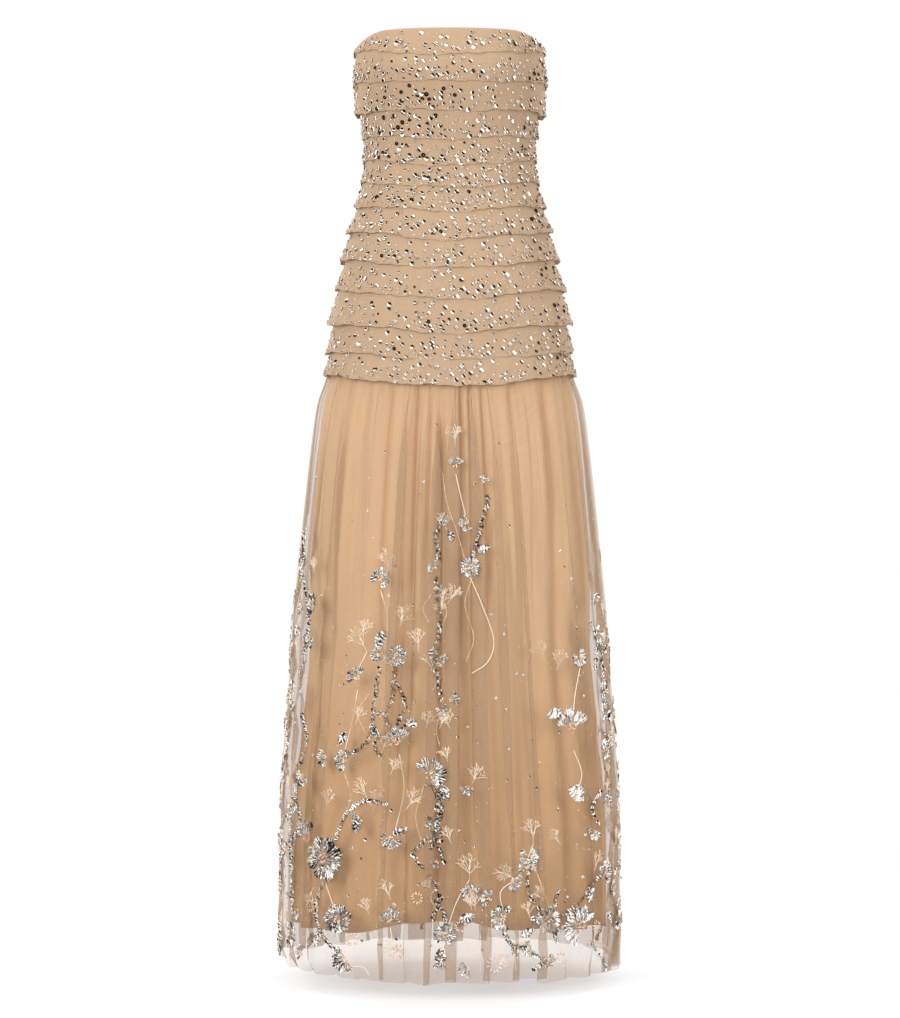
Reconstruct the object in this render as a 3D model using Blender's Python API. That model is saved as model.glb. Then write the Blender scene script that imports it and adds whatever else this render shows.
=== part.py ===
"""A strapless gown, filled out as worn: a fitted base bodice under thirteen tulle tiers,
and a sheer gathered tulle skirt over a shorter gathered lining.

Metres, +Z up, the front towards -Y. The origin is on the torso's axis at the bust line,
where the wearer holds the gown up. Angles run round that axis from the centre front,
positive towards +X, so the side seams are at 90 degrees and the centre back at 180.
"""

import math
from collections import namedtuple

import bmesh
import bpy
from mathutils import Vector

MM = 0.001

# Walls and clearances
BASE_WALL = 1.2 * MM
TIER_WALL = 1.2 * MM
SKIRT_WALL = 1.6 * MM
SEAM_GAP = 0.3 * MM
WAIST_RADIUS = 117 * MM
CENTRE_BACK_RADIUS = 83 * MM
SECTION_POWER = 2.35

# The torso under the cloth, as the outside of the base bodice, from the top down, in mm
Section = namedtuple("Section", "z half_width front_depth back_depth")
TORSO = (
    Section(62, 126.0, 104, 88),
    Section(31, 129.5, 115, 93),
    Section(0, 131.0, 121, 97),
    Section(-26, 129.0, 117, 96),
    Section(-51, 124.0, 109, 92),
    Section(-77, 119.0, 101, 87),
    Section(-103, 116.2, 95, 84),
    Section(-128, 116.4, 92, 83),
    Section(-154, 119.4, 92, 86),
    Section(-179, 124.0, 94, 92),
    Section(-205, 130.0, 97, 100),
    Section(-231, 137.5, 100, 108),
    Section(-267, 144.5, 104, 117),
    Section(-308, 154.0, 108, 122),
    Section(-349, 160.0, 111, 122),
    Section(-390, 164.5, 113, 121),
    Section(-426, 167.5, 115, 120),
)

# The two cups swell the front at the bust line
CUP_SWELL = 4.5 * MM
CUP_ANGLE = math.radians(31)
CUP_SPREAD_ANGLE = math.radians(17)
CUP_HEIGHT = -6 * MM
CUP_SPREAD_HEIGHT = 36 * MM

# The neckline is straight across the front and dips under the arms
NECK_FRONT = 49 * MM
NECK_SIDE = 36 * MM
NECK_DIP_FROM = math.radians(44)
NECK_DIP_TO = math.radians(80)
BASE_BOTTOM = -420.3 * MM

# One row for each tier: where its lower edge hangs at the front, side and back, how far
# it stands off the base there, and how it waves. Sizes in mm, the phase in radians.
Tier = namedtuple("Tier", "edge_front edge_side edge_back flare_middle flare_side wave phase")
TIERS = (
    Tier(10.5, 27, 10, 4.8, 4.6, 0.4, 0.3),
    Tier(-25.5, -19, -24, 5.6, 5.8, 0.5, 1.9),
    Tier(-63.4, -59, -60, 5.2, 10.5, 0.8, 3.4),
    Tier(-101.4, -91, -92, 5.2, 5.6, 0.5, 5.1),
    Tier(-137.6, -123, -124, 5.3, 5.7, 0.4, 0.9),
    Tier(-167.5, -154, -155, 5.2, 6.2, 0.4, 2.6),
    Tier(-200.4, -187, -187, 4.8, 8.2, 0.6, 4.2),
    Tier(-240.0, -222, -223, 5.0, 10.0, 0.9, 5.6),
    Tier(-278.7, -262, -262, 5.0, 10.4, 0.9, 1.4),
    Tier(-321.7, -303, -304, 5.0, 9.4, 0.8, 3.0),
    Tier(-368.3, -350, -350, 5.6, 12.0, 0.9, 4.7),
    Tier(-405.3, -390, -390, 5.6, 9.0, 0.7, 0.1),
    Tier(-440.5, -422, -423, 10.6, 10.0, 0.6, 2.1),
)
TIER_OVERLAP = 12 * MM
TIER_OVERLAP_SHARE = 0.35
TIER_WAVES = 7
TIER_EDGE_WAVES = 5
TIER_EDGE_LIFT = 1.4 * MM
TIER_FLARE_POWER = 1.25
TIERS_OPENED_BY_ZIP = 10

# The outermost folds of the tulle skirt, from the top down, and how deep its folds are
SkirtSection = namedtuple("SkirtSection", "z half_width front_depth back_depth fold_depth")
TULLE = (
    SkirtSection(-410, 168.8, 117.0, 123.0, 0.5),
    SkirtSection(-428, 173.3, 119.0, 126.5, 0.9),
    SkirtSection(-459, 184.7, 126.0, 134.0, 2.0),
    SkirtSection(-507, 192.4, 135.0, 143.0, 3.0),
    SkirtSection(-595, 203.0, 147.0, 156.0, 4.4),
    SkirtSection(-679, 212.0, 157.0, 166.0, 5.4),
    SkirtSection(-749, 219.0, 164.0, 173.0, 6.0),
    SkirtSection(-833, 224.4, 171.0, 180.0, 6.6),
    SkirtSection(-924, 230.7, 178.0, 187.0, 7.2),
    SkirtSection(-1015, 236.5, 184.0, 193.0, 7.6),
    SkirtSection(-1106, 238.7, 188.0, 197.0, 8.0),
    SkirtSection(-1250, 238.6, 190.0, 199.0, 8.2),
)
TULLE_TOP = -414 * MM
TULLE_HEM = -1238 * MM
TULLE_HEM_LIFT = 6 * MM
TULLE_HEM_WAVES = 3
TULLE_HEM_PHASE = 0.6
TULLE_FOLDS = 34
TULLE_COLUMNS = 84
TULLE_ROWS = (0.0, 0.022, 0.055, 0.13, 0.32, 0.56, 0.79, 1.0)

# The lining hangs inside the tulle's deepest folds by this room, in mm
LiningRoom = namedtuple("LiningRoom", "z room fold_depth")
LINING = (
    LiningRoom(-410, 0.7, 0.3),
    LiningRoom(-428, 1.2, 0.8),
    LiningRoom(-459, 3.4, 2.0),
    LiningRoom(-507, 2.4, 3.2),
    LiningRoom(-595, 2.8, 4.4),
    LiningRoom(-679, 4.0, 5.2),
    LiningRoom(-790, 12.0, 5.6),
    LiningRoom(-875, 9.0, 6.2),
    LiningRoom(-960, 5.5, 6.8),
    LiningRoom(-1058, 2.6, 7.4),
    LiningRoom(-1200, 1.8, 7.8),
)
LINING_TOP = BASE_BOTTOM - SEAM_GAP
LINING_HEM_FRONT = -1166 * MM
LINING_HEM_SIDE = -1188 * MM
LINING_FOLDS = 24
LINING_FOLD_TURN = 0.5
LINING_COLUMNS = 54
LINING_ROWS = (0.0, 0.05, 0.13, 0.36, 0.66, 1.0)

# The folds crowd and spread, and deepen and flatten, as they go round the skirt: how much,
# how many times, and the phase, in radians
Drift = namedtuple("Drift", "amount times phase")
FOLD_SPACING_DRIFTS = (Drift(0.9, 3, 1.0), Drift(0.6, 7, 2.0))
FOLD_DEPTH_DRIFT = Drift(0.26, 5, 0.4)

# The base and the tiers share their columns, so that a tier lies evenly off the base
BODICE_COLUMNS = 18
TIER_ROWS = (0.0, 0.72, 1.0)
SHARP_ANGLE = math.radians(50)

# Concealed zip at the centre back
ZIP_TAPE_WIDTH = 26 * MM
ZIP_TAPE_WALL = 1.0 * MM
ZIP_TAPE_GAP = 0.5 * MM
SLIDER_Z = 19 * MM
SLIDER_WIDTH = 5.0 * MM
SLIDER_HEIGHT = 8.0 * MM
SLIDER_DEPTH = 1.6 * MM
LUG_WIDTH = 0.8 * MM
LUG_GAP = 2.6 * MM
LUG_REACH = 3.1 * MM
LUG_HEIGHT = 2.2 * MM
LUG_INSET = 0.6 * MM
LUG_BITE = 0.5 * MM
PIN_RADIUS = 0.55 * MM
PIN_OUT = 2.0 * MM
PULL_EYE_RADIUS = 0.95 * MM
PULL_BARREL_RADIUS = 1.55 * MM
PULL_BARREL_WIDTH = 1.9 * MM
PULL_LENGTH = 15 * MM
PULL_HALF_WIDTH = 2.3 * MM
PULL_PLATE = 0.9 * MM
PULL_SHOULDER = 2.6 * MM
PULL_BITE = 0.3 * MM
PULL_ROUND_END = math.radians(11)
PULL_ROUND_STEPS = 10
PULL_SIDES = 16

COLOURS = {
    "nude_base": ((0.66, 0.46, 0.28), 0.75, 0.0),
    "champagne_tulle": ((0.72, 0.53, 0.34), 0.7, 0.0),
    "nude_lining": ((0.64, 0.44, 0.26), 0.6, 0.0),
    "sheer_tulle": ((0.76, 0.62, 0.48), 0.75, 0.0),
    "zip_tape": ((0.60, 0.44, 0.28), 0.8, 0.0),
    "zip_metal": ((0.78, 0.74, 0.66), 0.3, 1.0),
}


def clear_scene():
    for thing in list(bpy.data.objects):
        bpy.data.objects.remove(thing, do_unlink=True)


def smoothstep(low, high, value):
    """0 below low, 1 above high, and a soft step between."""
    share = min(1.0, max(0.0, (value - low) / (high - low)))
    return share * share * (3 - 2 * share)


def column_at(table, name, z):
    """A table's column at height z, in metres, on a smooth curve through its rows."""
    heights = [row.z * MM for row in table]
    values = [getattr(row, name) * MM for row in table]
    if z >= heights[0]:
        return values[0]
    if z <= heights[-1]:
        return values[-1]
    i = next(k for k in range(len(heights) - 1) if z >= heights[k + 1])
    before, after = max(i - 1, 0), min(i + 2, len(heights) - 1)
    step = heights[i + 1] - heights[i]
    slope_in = (values[i + 1] - values[before]) / (heights[i + 1] - heights[before])
    slope_out = (values[after] - values[i]) / (heights[after] - heights[i])
    t = (z - heights[i]) / step
    return (
        values[i] * (2 * t**3 - 3 * t**2 + 1)
        + slope_in * step * (t**3 - 2 * t**2 + t)
        + values[i + 1] * (3 * t**2 - 2 * t**3)
        + slope_out * step * (t**3 - t**2)
    )


def section_radius(half_width, front_depth, back_depth, angle):
    """How far a rounded oval section reaches from the axis in one direction."""
    depth = front_depth if math.cos(angle) > 0 else back_depth
    across = (abs(math.sin(angle)) / half_width) ** SECTION_POWER
    along = (abs(math.cos(angle)) / depth) ** SECTION_POWER
    return (across + along) ** (-1 / SECTION_POWER)


def table_radius(table, angle, z):
    sizes = [column_at(table, name, z) for name in ("half_width", "front_depth", "back_depth")]
    return section_radius(*sizes, angle)


def torso_radius(angle, z):
    """The outside of the base bodice, cups included."""
    off_cup = (abs(angle) - CUP_ANGLE) / CUP_SPREAD_ANGLE
    off_height = (z - CUP_HEIGHT) / CUP_SPREAD_HEIGHT
    swell = CUP_SWELL * math.exp(-(off_cup**2) - off_height**2)
    return table_radius(TORSO, angle, z) + swell


def neckline(angle):
    dip = smoothstep(NECK_DIP_FROM, NECK_DIP_TO, abs(angle))
    return NECK_FRONT + (NECK_SIDE - NECK_FRONT) * dip


def round_the_body(front, side, back, angle):
    """A size that goes from its front to its side to its back value round the gown."""
    across = math.sin(angle) ** 2
    far = front if math.cos(angle) > 0 else back
    return far + (side - far) * across


def tier_edge(index, angle):
    """The height of a tier's lower edge."""
    tier = TIERS[index]
    level = round_the_body(tier.edge_front, tier.edge_side, tier.edge_back, angle) * MM
    return level + TIER_EDGE_LIFT * math.sin(TIER_EDGE_WAVES * angle + tier.phase)


def tier_root(index, angle):
    """The height where a tier is sewn on, under the edge of the tier above it."""
    top = neckline(angle)
    if index == 0:
        return top
    above = tier_edge(index - 1, angle)
    return above + min(TIER_OVERLAP, TIER_OVERLAP_SHARE * (top - above))


def base_surface(angle, row):
    """The base bodice has a row of points where each tier is sewn on, and one at its bottom."""
    z = tier_root(row, angle) if row < len(TIERS) else BASE_BOTTOM
    outer = torso_radius(angle, z)
    return outer - BASE_WALL, outer, z


def tier_surface(index):
    tier = TIERS[index]

    def surface(angle, share):
        z = tier_root(index, angle) + (tier_edge(index, angle) - tier_root(index, angle)) * share
        flare = round_the_body(tier.flare_middle, tier.flare_side, tier.flare_middle, angle) * MM
        wave = tier.wave * MM * share**2 * math.sin(TIER_WAVES * angle + tier.phase)
        stand_off = SEAM_GAP + (flare - TIER_WALL - SEAM_GAP) * share**TIER_FLARE_POWER
        inner = torso_radius(angle, z) + stand_off + wave
        return inner, inner + TIER_WALL, z

    return surface


def drift_at(drift, angle):
    return drift.amount * math.sin(drift.times * angle + drift.phase)


def fold(angle, count):
    """0 on a fold's crest and 1 in its trough, with uneven widths and depths round the skirt."""
    phase = count * angle + sum(drift_at(drift, angle) for drift in FOLD_SPACING_DRIFTS)
    depth = 1 - FOLD_DEPTH_DRIFT.amount + drift_at(FOLD_DEPTH_DRIFT, angle)
    return depth * (1 - math.cos(phase)) / 2


def tulle_surface(angle, share):
    hem = TULLE_HEM + TULLE_HEM_LIFT * math.sin(TULLE_HEM_WAVES * angle + TULLE_HEM_PHASE)
    z = TULLE_TOP + (hem - TULLE_TOP) * share
    deep = 2 * column_at(TULLE, "fold_depth", z)
    outer = table_radius(TULLE, angle, z) - deep * fold(angle, TULLE_FOLDS)
    return outer - SKIRT_WALL, outer, z


def lining_surface(angle, share):
    hem = round_the_body(LINING_HEM_FRONT, LINING_HEM_SIDE, LINING_HEM_SIDE, angle)
    z = LINING_TOP + (hem - LINING_TOP) * share
    room = column_at(LINING, "room", z) + SKIRT_WALL + 2 * column_at(TULLE, "fold_depth", z)
    deep = 2 * column_at(LINING, "fold_depth", z)
    crest = table_radius(TULLE, angle, z)
    outer = crest - room - deep * fold(angle + LINING_FOLD_TURN, LINING_FOLDS)
    return outer - SKIRT_WALL, outer, z


def material(name):
    colour, roughness, metallic = COLOURS[name]
    made = bpy.data.materials.get(name) or bpy.data.materials.new(name)
    made.use_nodes = True
    shader = made.node_tree.nodes["Principled BSDF"]
    shader.inputs["Base Color"].default_value = (*colour, 1)
    shader.inputs["Roughness"].default_value = roughness
    shader.inputs["Metallic"].default_value = metallic
    made.diffuse_color = (*colour, 1)
    return made


def add_object(name, mesh, material_name, parent):
    mesh.materials.append(material(material_name))
    thing = bpy.data.objects.new(name, mesh)
    bpy.context.scene.collection.objects.link(thing)
    thing.parent = parent
    return thing


def even_steps(start, end, count):
    return [start + (end - start) * i / count for i in range(count + 1)]


def closed_wall(name, inner, outer, material_name, parent):
    """A closed wall between two grids of points, each a list of rows from the top down."""
    rows, columns = len(inner), len(inner[0])
    points = [point for grid in (inner, outer) for row in grid for point in row]

    def index(side, row, column):
        return (side * rows + row) * columns + column

    faces = []
    for row in range(rows - 1):
        for column in range(columns - 1):
            for side in (0, 1):
                faces.append(
                    (
                        index(side, row, column),
                        index(side, row, column + 1),
                        index(side, row + 1, column + 1),
                        index(side, row + 1, column),
                    )
                )
    for column in range(columns - 1):
        for row in (0, rows - 1):
            here, there = index(0, row, column), index(0, row, column + 1)
            faces.append((here, there, index(1, row, column + 1), index(1, row, column)))
    for row in range(rows - 1):
        for column in (0, columns - 1):
            here, there = index(0, row, column), index(0, row + 1, column)
            faces.append((here, there, index(1, row + 1, column), index(1, row, column)))
    mesh = bpy.data.meshes.new(name)
    mesh.from_pydata(points, [], faces)
    face_outwards(mesh)
    mesh.shade_smooth()
    mesh.set_sharp_from_angle(angle=SHARP_ANGLE)
    return add_object(name, mesh, material_name, parent)


def cloth_wall(name, surface, angles, steps_down, material_name, parent):
    """A wall round the body: surface(angle, step) gives its inner radius, outer radius and z."""
    inner, outer = [], []
    for step in steps_down:
        row = [(angle, *surface(angle, step)) for angle in angles]
        inner.append([round_point(angle, near, z) for angle, near, _, z in row])
        outer.append([round_point(angle, far, z) for angle, _, far, z in row])
    return closed_wall(name, inner, outer, material_name, parent)


def round_point(angle, radius, z):
    return (radius * math.sin(angle), -radius * math.cos(angle), z)


def face_outwards(mesh):
    shape = bmesh.new()
    shape.from_mesh(mesh)
    bmesh.ops.recalc_face_normals(shape, faces=shape.faces)
    shape.to_mesh(mesh)
    shape.free()


def panel_angles(columns):
    """The angles of a front, back, back-left and back-right panel, a seam gap apart."""
    side = SEAM_GAP / 2 / WAIST_RADIUS
    back = SEAM_GAP / 2 / CENTRE_BACK_RADIUS
    quarter = math.pi / 2
    return {
        "front": even_steps(-quarter + side, quarter - side, columns),
        "back": even_steps(quarter + side, 3 * quarter - side, columns),
        "back_right": even_steps(quarter + side, 2 * quarter - back, columns // 2),
        "back_left": even_steps(2 * quarter + back, 3 * quarter - side, columns // 2),
    }


def make_base(parent):
    angles = panel_angles(BODICE_COLUMNS)
    rows = range(len(TIERS) + 1)
    for panel in ("front", "back_left", "back_right"):
        name = f"bodice_{panel}"
        cloth_wall(name, base_surface, wrapped(angles[panel]), rows, "nude_base", parent)


def wrapped(angles):
    """Angles kept between -180 and 180 degrees, as the surface functions expect."""
    return [angle - 2 * math.pi if angle > math.pi else angle for angle in angles]


def make_tiers(parent):
    angles = panel_angles(BODICE_COLUMNS)
    for index in range(len(TIERS)):
        backs = ("back_left", "back_right") if index < TIERS_OPENED_BY_ZIP else ("back",)
        for panel in ("front", *backs):
            cloth_wall(
                f"tier_{index + 1:02d}_{panel}",
                tier_surface(index),
                wrapped(angles[panel]),
                TIER_ROWS,
                "champagne_tulle",
                parent,
            )


def make_skirt(parent):
    lining = panel_angles(LINING_COLUMNS)
    tulle = panel_angles(TULLE_COLUMNS)
    for panel in ("front", "back"):
        cloth_wall(
            f"lining_{panel}",
            lining_surface,
            wrapped(lining[panel]),
            LINING_ROWS,
            "nude_lining",
            parent,
        )
        cloth_wall(
            f"skirt_{panel}",
            tulle_surface,
            wrapped(tulle[panel]),
            TULLE_ROWS,
            "sheer_tulle",
            parent,
        )


def box_into(shape, low, high):
    """Adds a box between two corners to a bmesh."""
    made = bmesh.ops.create_cube(shape, size=1)["verts"]
    for vertex in made:
        for axis in range(3):
            span = high[axis] - low[axis]
            vertex.co[axis] = low[axis] + (vertex.co[axis] + 0.5) * span


def mesh_of(name, build):
    shape = bmesh.new()
    build(shape)
    mesh = bpy.data.meshes.new(name)
    shape.to_mesh(mesh)
    shape.free()
    return mesh


def add_union(target, name, build, location=(0, 0, 0)):
    """Joins another shape to target with a Boolean; the helper itself isn't a part."""
    helper = bpy.data.objects.new(name, mesh_of(name, build))
    bpy.context.scene.collection.objects.link(helper)
    helper.parent = target
    helper.location = location
    helper.hide_render = True
    helper.display_type = "WIRE"
    join = target.modifiers.new(name, "BOOLEAN")
    join.operation = "UNION"
    join.object = helper
    return helper


def rod_along_x(shape, radius, half_length, sides):
    """Adds a round rod along X to a bmesh."""
    made = bmesh.ops.create_cone(
        shape,
        cap_ends=True,
        segments=sides,
        radius1=radius,
        radius2=radius,
        depth=2 * half_length,
    )["verts"]
    for vertex in made:
        x, y, z = vertex.co
        vertex.co = Vector((z, y, -x))


def slider_seat():
    """Where the slider lies on the first tier's back: a point and how far it leans."""
    surface = tier_surface(0)
    back = math.pi - SEAM_GAP / CENTRE_BACK_RADIUS
    top, edge = tier_root(0, back), tier_edge(0, back)
    share = (top - SLIDER_Z) / (top - edge)
    reach = 0.5 * SLIDER_HEIGHT / (top - edge)
    high = surface(back, share - reach)
    low = surface(back, share + reach)
    lean = math.atan2(low[1] - high[1], high[2] - low[2])
    middle = surface(back, share)[1]
    return Vector((0, middle, SLIDER_Z)), lean


def tape_on_base(row):
    """How far back the tape's middle and its edges lie, flat on the inside of the base."""
    next_column = math.pi - math.pi / BODICE_COLUMNS
    middle, _, z = base_surface(math.pi, row)
    radius, _, _ = base_surface(next_column, row)
    across, back, _ = round_point(next_column, radius, z)
    edge = middle + (back - middle) * ZIP_TAPE_WIDTH / 2 / across
    return middle - ZIP_TAPE_GAP, edge - ZIP_TAPE_GAP, z


def make_zip(parent):
    inner, outer = [], []
    for row in range(TIERS_OPENED_BY_ZIP + 1):
        middle, edge, z = tape_on_base(row)
        half = ZIP_TAPE_WIDTH / 2
        line = [(-half, edge, z), (0, middle, z), (half, edge, z)]
        outer.append(line)
        inner.append([(x, y - ZIP_TAPE_WALL, z) for x, y, z in line])
    closed_wall("zip_tape", inner, outer, "zip_tape", parent)

    seat, lean = slider_seat()
    half_width, half_height = SLIDER_WIDTH / 2, SLIDER_HEIGHT / 2
    lift = 2 * SEAM_GAP
    out = SLIDER_DEPTH + PIN_OUT

    def slab(shape):
        box_into(shape, (-half_width, 0, -half_height), (half_width, SLIDER_DEPTH, half_height))

    slider = add_object("zip_slider", mesh_of("zip_slider", slab), "zip_metal", parent)
    slider.location = seat + Vector((0, lift, 0))
    slider.rotation_euler = (lean, 0, 0)
    pin_z = half_height - LUG_HEIGHT / 2 - LUG_INSET
    inside = LUG_GAP / 2
    for side, name in ((-1, "lug_left"), (1, "lug_right")):
        near, far = sorted((side * inside, side * (inside + LUG_WIDTH)))

        def lug(shape, near=near, far=far):
            low = (near, SLIDER_DEPTH - LUG_BITE, pin_z - LUG_HEIGHT / 2)
            high = (far, SLIDER_DEPTH + LUG_REACH, pin_z + LUG_HEIGHT / 2)
            box_into(shape, low, high)

        add_union(slider, name, lug)

    def pin(shape):
        rod_along_x(shape, PIN_RADIUS, inside + LUG_WIDTH / 2, PULL_SIDES)

    add_union(slider, "pin", pin, location=(0, out, pin_z))
    pivot = Vector((0, out, pin_z))
    pivot.rotate(slider.rotation_euler)
    make_pull(slider.location + pivot, lean, parent)


def make_pull(pivot, lean, parent):
    """The teardrop pull: a barrel round the pin and a plate that lies along the slider."""

    def barrel(shape):
        rod_along_x(shape, PULL_BARREL_RADIUS, PULL_BARREL_WIDTH / 2, PULL_SIDES)

    pull = add_object("zip_pull", mesh_of("zip_pull", barrel), "zip_metal", parent)
    pull.location = pivot
    pull.rotation_euler = (lean, 0, 0)

    def plate(shape):
        neck = PULL_BARREL_WIDTH / 2
        centre = -PULL_LENGTH + PULL_HALF_WIDTH
        top = -PULL_BARREL_RADIUS + PULL_BITE
        steps = even_steps(PULL_ROUND_END - math.pi, -PULL_ROUND_END, PULL_ROUND_STEPS)
        outline = [(-neck, top), (-neck, -PULL_SHOULDER)]
        outline += [
            (PULL_HALF_WIDTH * math.cos(a), centre + PULL_HALF_WIDTH * math.sin(a)) for a in steps
        ]
        outline += [(neck, -PULL_SHOULDER), (neck, top)]
        front = [shape.verts.new((x, -PULL_PLATE / 2, z)) for x, z in outline]
        face = shape.faces.new(front)
        grown = bmesh.ops.extrude_face_region(shape, geom=[face])["geom"]
        moved = [part for part in grown if isinstance(part, bmesh.types.BMVert)]
        bmesh.ops.translate(shape, vec=(0, PULL_PLATE, 0), verts=moved)
        bmesh.ops.recalc_face_normals(shape, faces=shape.faces)

    add_union(pull, "plate", plate)

    def eye(shape):
        rod_along_x(shape, PULL_EYE_RADIUS, PULL_BARREL_WIDTH, PULL_SIDES)

    helper = add_union(pull, "eye", eye)
    pull.modifiers["eye"].operation = "DIFFERENCE"
    helper.name = "eye_cutter"


def main():
    clear_scene()
    gown = bpy.data.objects.new("gown", None)
    bpy.context.scene.collection.objects.link(gown)
    make_base(gown)
    make_tiers(gown)
    make_skirt(gown)
    make_zip(gown)


main()
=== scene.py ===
"""The looks of a strapless gown: a bodice of sequinned tulle tiers over a nude base, and a
sheer tulle skirt, embroidered with silver flowers, over a shorter nude lining.

Metres, +Z up, the front towards -Y. Angles run round the body from the centre front,
positive towards +X, so the side seams are at 90 degrees and the centre back at 180.
"""

import math
from collections import namedtuple

import bpy
import numpy as np
from bpy.props import FloatProperty, FloatVectorProperty, IntProperty, PointerProperty
from bpy.types import Operator, Panel, PropertyGroup
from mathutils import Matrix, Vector


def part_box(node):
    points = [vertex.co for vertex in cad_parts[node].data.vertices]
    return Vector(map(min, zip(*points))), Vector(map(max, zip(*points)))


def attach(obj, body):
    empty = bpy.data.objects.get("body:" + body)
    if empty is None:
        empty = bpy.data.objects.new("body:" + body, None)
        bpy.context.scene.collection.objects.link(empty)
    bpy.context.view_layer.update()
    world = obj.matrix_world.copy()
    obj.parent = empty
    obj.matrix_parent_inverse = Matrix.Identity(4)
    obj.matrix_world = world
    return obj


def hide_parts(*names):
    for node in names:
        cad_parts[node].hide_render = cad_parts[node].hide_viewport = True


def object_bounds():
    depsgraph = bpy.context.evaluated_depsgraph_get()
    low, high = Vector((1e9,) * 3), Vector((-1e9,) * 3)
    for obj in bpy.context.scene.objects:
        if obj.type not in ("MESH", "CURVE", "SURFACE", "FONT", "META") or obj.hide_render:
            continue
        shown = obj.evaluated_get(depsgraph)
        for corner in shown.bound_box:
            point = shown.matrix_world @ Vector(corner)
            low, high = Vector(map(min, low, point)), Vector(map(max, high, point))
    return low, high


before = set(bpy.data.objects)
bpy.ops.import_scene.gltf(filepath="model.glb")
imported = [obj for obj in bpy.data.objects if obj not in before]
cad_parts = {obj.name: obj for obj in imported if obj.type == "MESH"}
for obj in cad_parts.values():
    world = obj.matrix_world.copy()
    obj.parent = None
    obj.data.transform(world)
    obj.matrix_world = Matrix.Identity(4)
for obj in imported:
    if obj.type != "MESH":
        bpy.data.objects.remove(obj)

bl_info = {
    "name": "Tiered bustier gown",
    "version": (1, 0, 0),
    "blender": (4, 5, 0),
    "location": "3D View > Sidebar > Gown",
    "description": "Dresses the gown's solids in tulle, lining, sequins and embroidery",
    "category": "Object",
}

MM = 0.001
TINY = 1e-6
TURN = 2 * math.pi
CAD_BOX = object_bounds()
BODY = "gown"

# The torso under the tiers, as the outside of the base bodice, from the top down, in mm
Section = namedtuple("Section", "z half_width front_depth back_depth")
TORSO = (
    Section(62, 126.0, 104, 88),
    Section(31, 129.5, 115, 93),
    Section(0, 131.0, 121, 97),
    Section(-26, 129.0, 117, 96),
    Section(-51, 124.0, 109, 92),
    Section(-77, 119.0, 101, 87),
    Section(-103, 116.2, 95, 84),
    Section(-128, 116.4, 92, 83),
    Section(-154, 119.4, 92, 86),
    Section(-179, 124.0, 94, 92),
    Section(-205, 130.0, 97, 100),
    Section(-231, 137.5, 100, 108),
    Section(-267, 144.5, 104, 117),
    Section(-308, 154.0, 108, 122),
    Section(-349, 160.0, 111, 122),
    Section(-390, 164.5, 113, 121),
    Section(-426, 167.5, 115, 120),
)
SECTION_POWER = 2.35
CUP_SWELL = 4.5 * MM
CUP_ANGLE = math.radians(31)
CUP_SPREAD_ANGLE = math.radians(17)
CUP_HEIGHT = -6 * MM
CUP_SPREAD_HEIGHT = 36 * MM
NECK_FRONT = 49 * MM
NECK_SIDE = 36 * MM
NECK_DIP_FROM = math.radians(44)
NECK_DIP_TO = math.radians(80)
BASE_WALL = 1.2 * MM
BASE_BOTTOM = -420.3 * MM

# One row for each tier, as in the solids: its lower edge at the front, side and back, how far
# it stands off the base there, and how it waves. Sizes in mm, the phase in radians.
Tier = namedtuple("Tier", "edge_front edge_side edge_back flare_middle flare_side wave phase")
TIERS = (
    Tier(10.5, 27, 10, 4.8, 4.6, 0.4, 0.3),
    Tier(-25.5, -19, -24, 5.6, 5.8, 0.5, 1.9),
    Tier(-63.4, -59, -60, 5.2, 10.5, 0.8, 3.4),
    Tier(-101.4, -91, -92, 5.2, 5.6, 0.5, 5.1),
    Tier(-137.6, -123, -124, 5.3, 5.7, 0.4, 0.9),
    Tier(-167.5, -154, -155, 5.2, 6.2, 0.4, 2.6),
    Tier(-200.4, -187, -187, 4.8, 8.2, 0.6, 4.2),
    Tier(-240.0, -222, -223, 5.0, 10.0, 0.9, 5.6),
    Tier(-278.7, -262, -262, 5.0, 10.4, 0.9, 1.4),
    Tier(-321.7, -303, -304, 5.0, 9.4, 0.8, 3.0),
    Tier(-368.3, -350, -350, 5.6, 12.0, 0.9, 4.7),
    Tier(-405.3, -390, -390, 5.6, 9.0, 0.7, 0.1),
    Tier(-440.5, -422, -423, 10.6, 10.0, 0.6, 2.1),
)
TIER_WALL = 1.2 * MM
SEAM_GAP = 0.3 * MM
TIER_OVERLAP = 12 * MM
TIER_OVERLAP_SHARE = 0.35
TIER_WAVES = 7
TIER_EDGE_WAVES = 5
TIER_EDGE_LIFT = 1.4 * MM
TIER_FLARE_POWER = 1.25
TIERS_OPENED_BY_ZIP = 10
TIER_TURN_UP = 6 * MM
TIER_TURN_DEPTH = 0.3 * MM
TIER_RIPPLE = 0.45 * MM
TIER_UNEVEN = 0.8 * MM

# The outermost folds of the tulle skirt, from the top down, and how deep its folds are
SkirtSection = namedtuple("SkirtSection", "z half_width front_depth back_depth fold_depth")
TULLE = (
    SkirtSection(-410, 168.8, 117.0, 123.0, 0.5),
    SkirtSection(-428, 173.3, 119.0, 126.5, 0.9),
    SkirtSection(-459, 184.7, 126.0, 134.0, 2.0),
    SkirtSection(-507, 192.4, 135.0, 143.0, 3.0),
    SkirtSection(-595, 203.0, 147.0, 156.0, 4.4),
    SkirtSection(-679, 212.0, 157.0, 166.0, 5.4),
    SkirtSection(-749, 219.0, 164.0, 173.0, 6.0),
    SkirtSection(-833, 224.4, 171.0, 180.0, 6.6),
    SkirtSection(-924, 230.7, 178.0, 187.0, 7.2),
    SkirtSection(-1015, 236.5, 184.0, 193.0, 7.6),
    SkirtSection(-1106, 238.7, 188.0, 197.0, 8.0),
    SkirtSection(-1250, 238.6, 190.0, 199.0, 8.2),
)
TULLE_TOP = -414 * MM
TULLE_HEM = -1238 * MM
TULLE_FOLDS = 34
TULLE_GATHERS = 102
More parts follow.
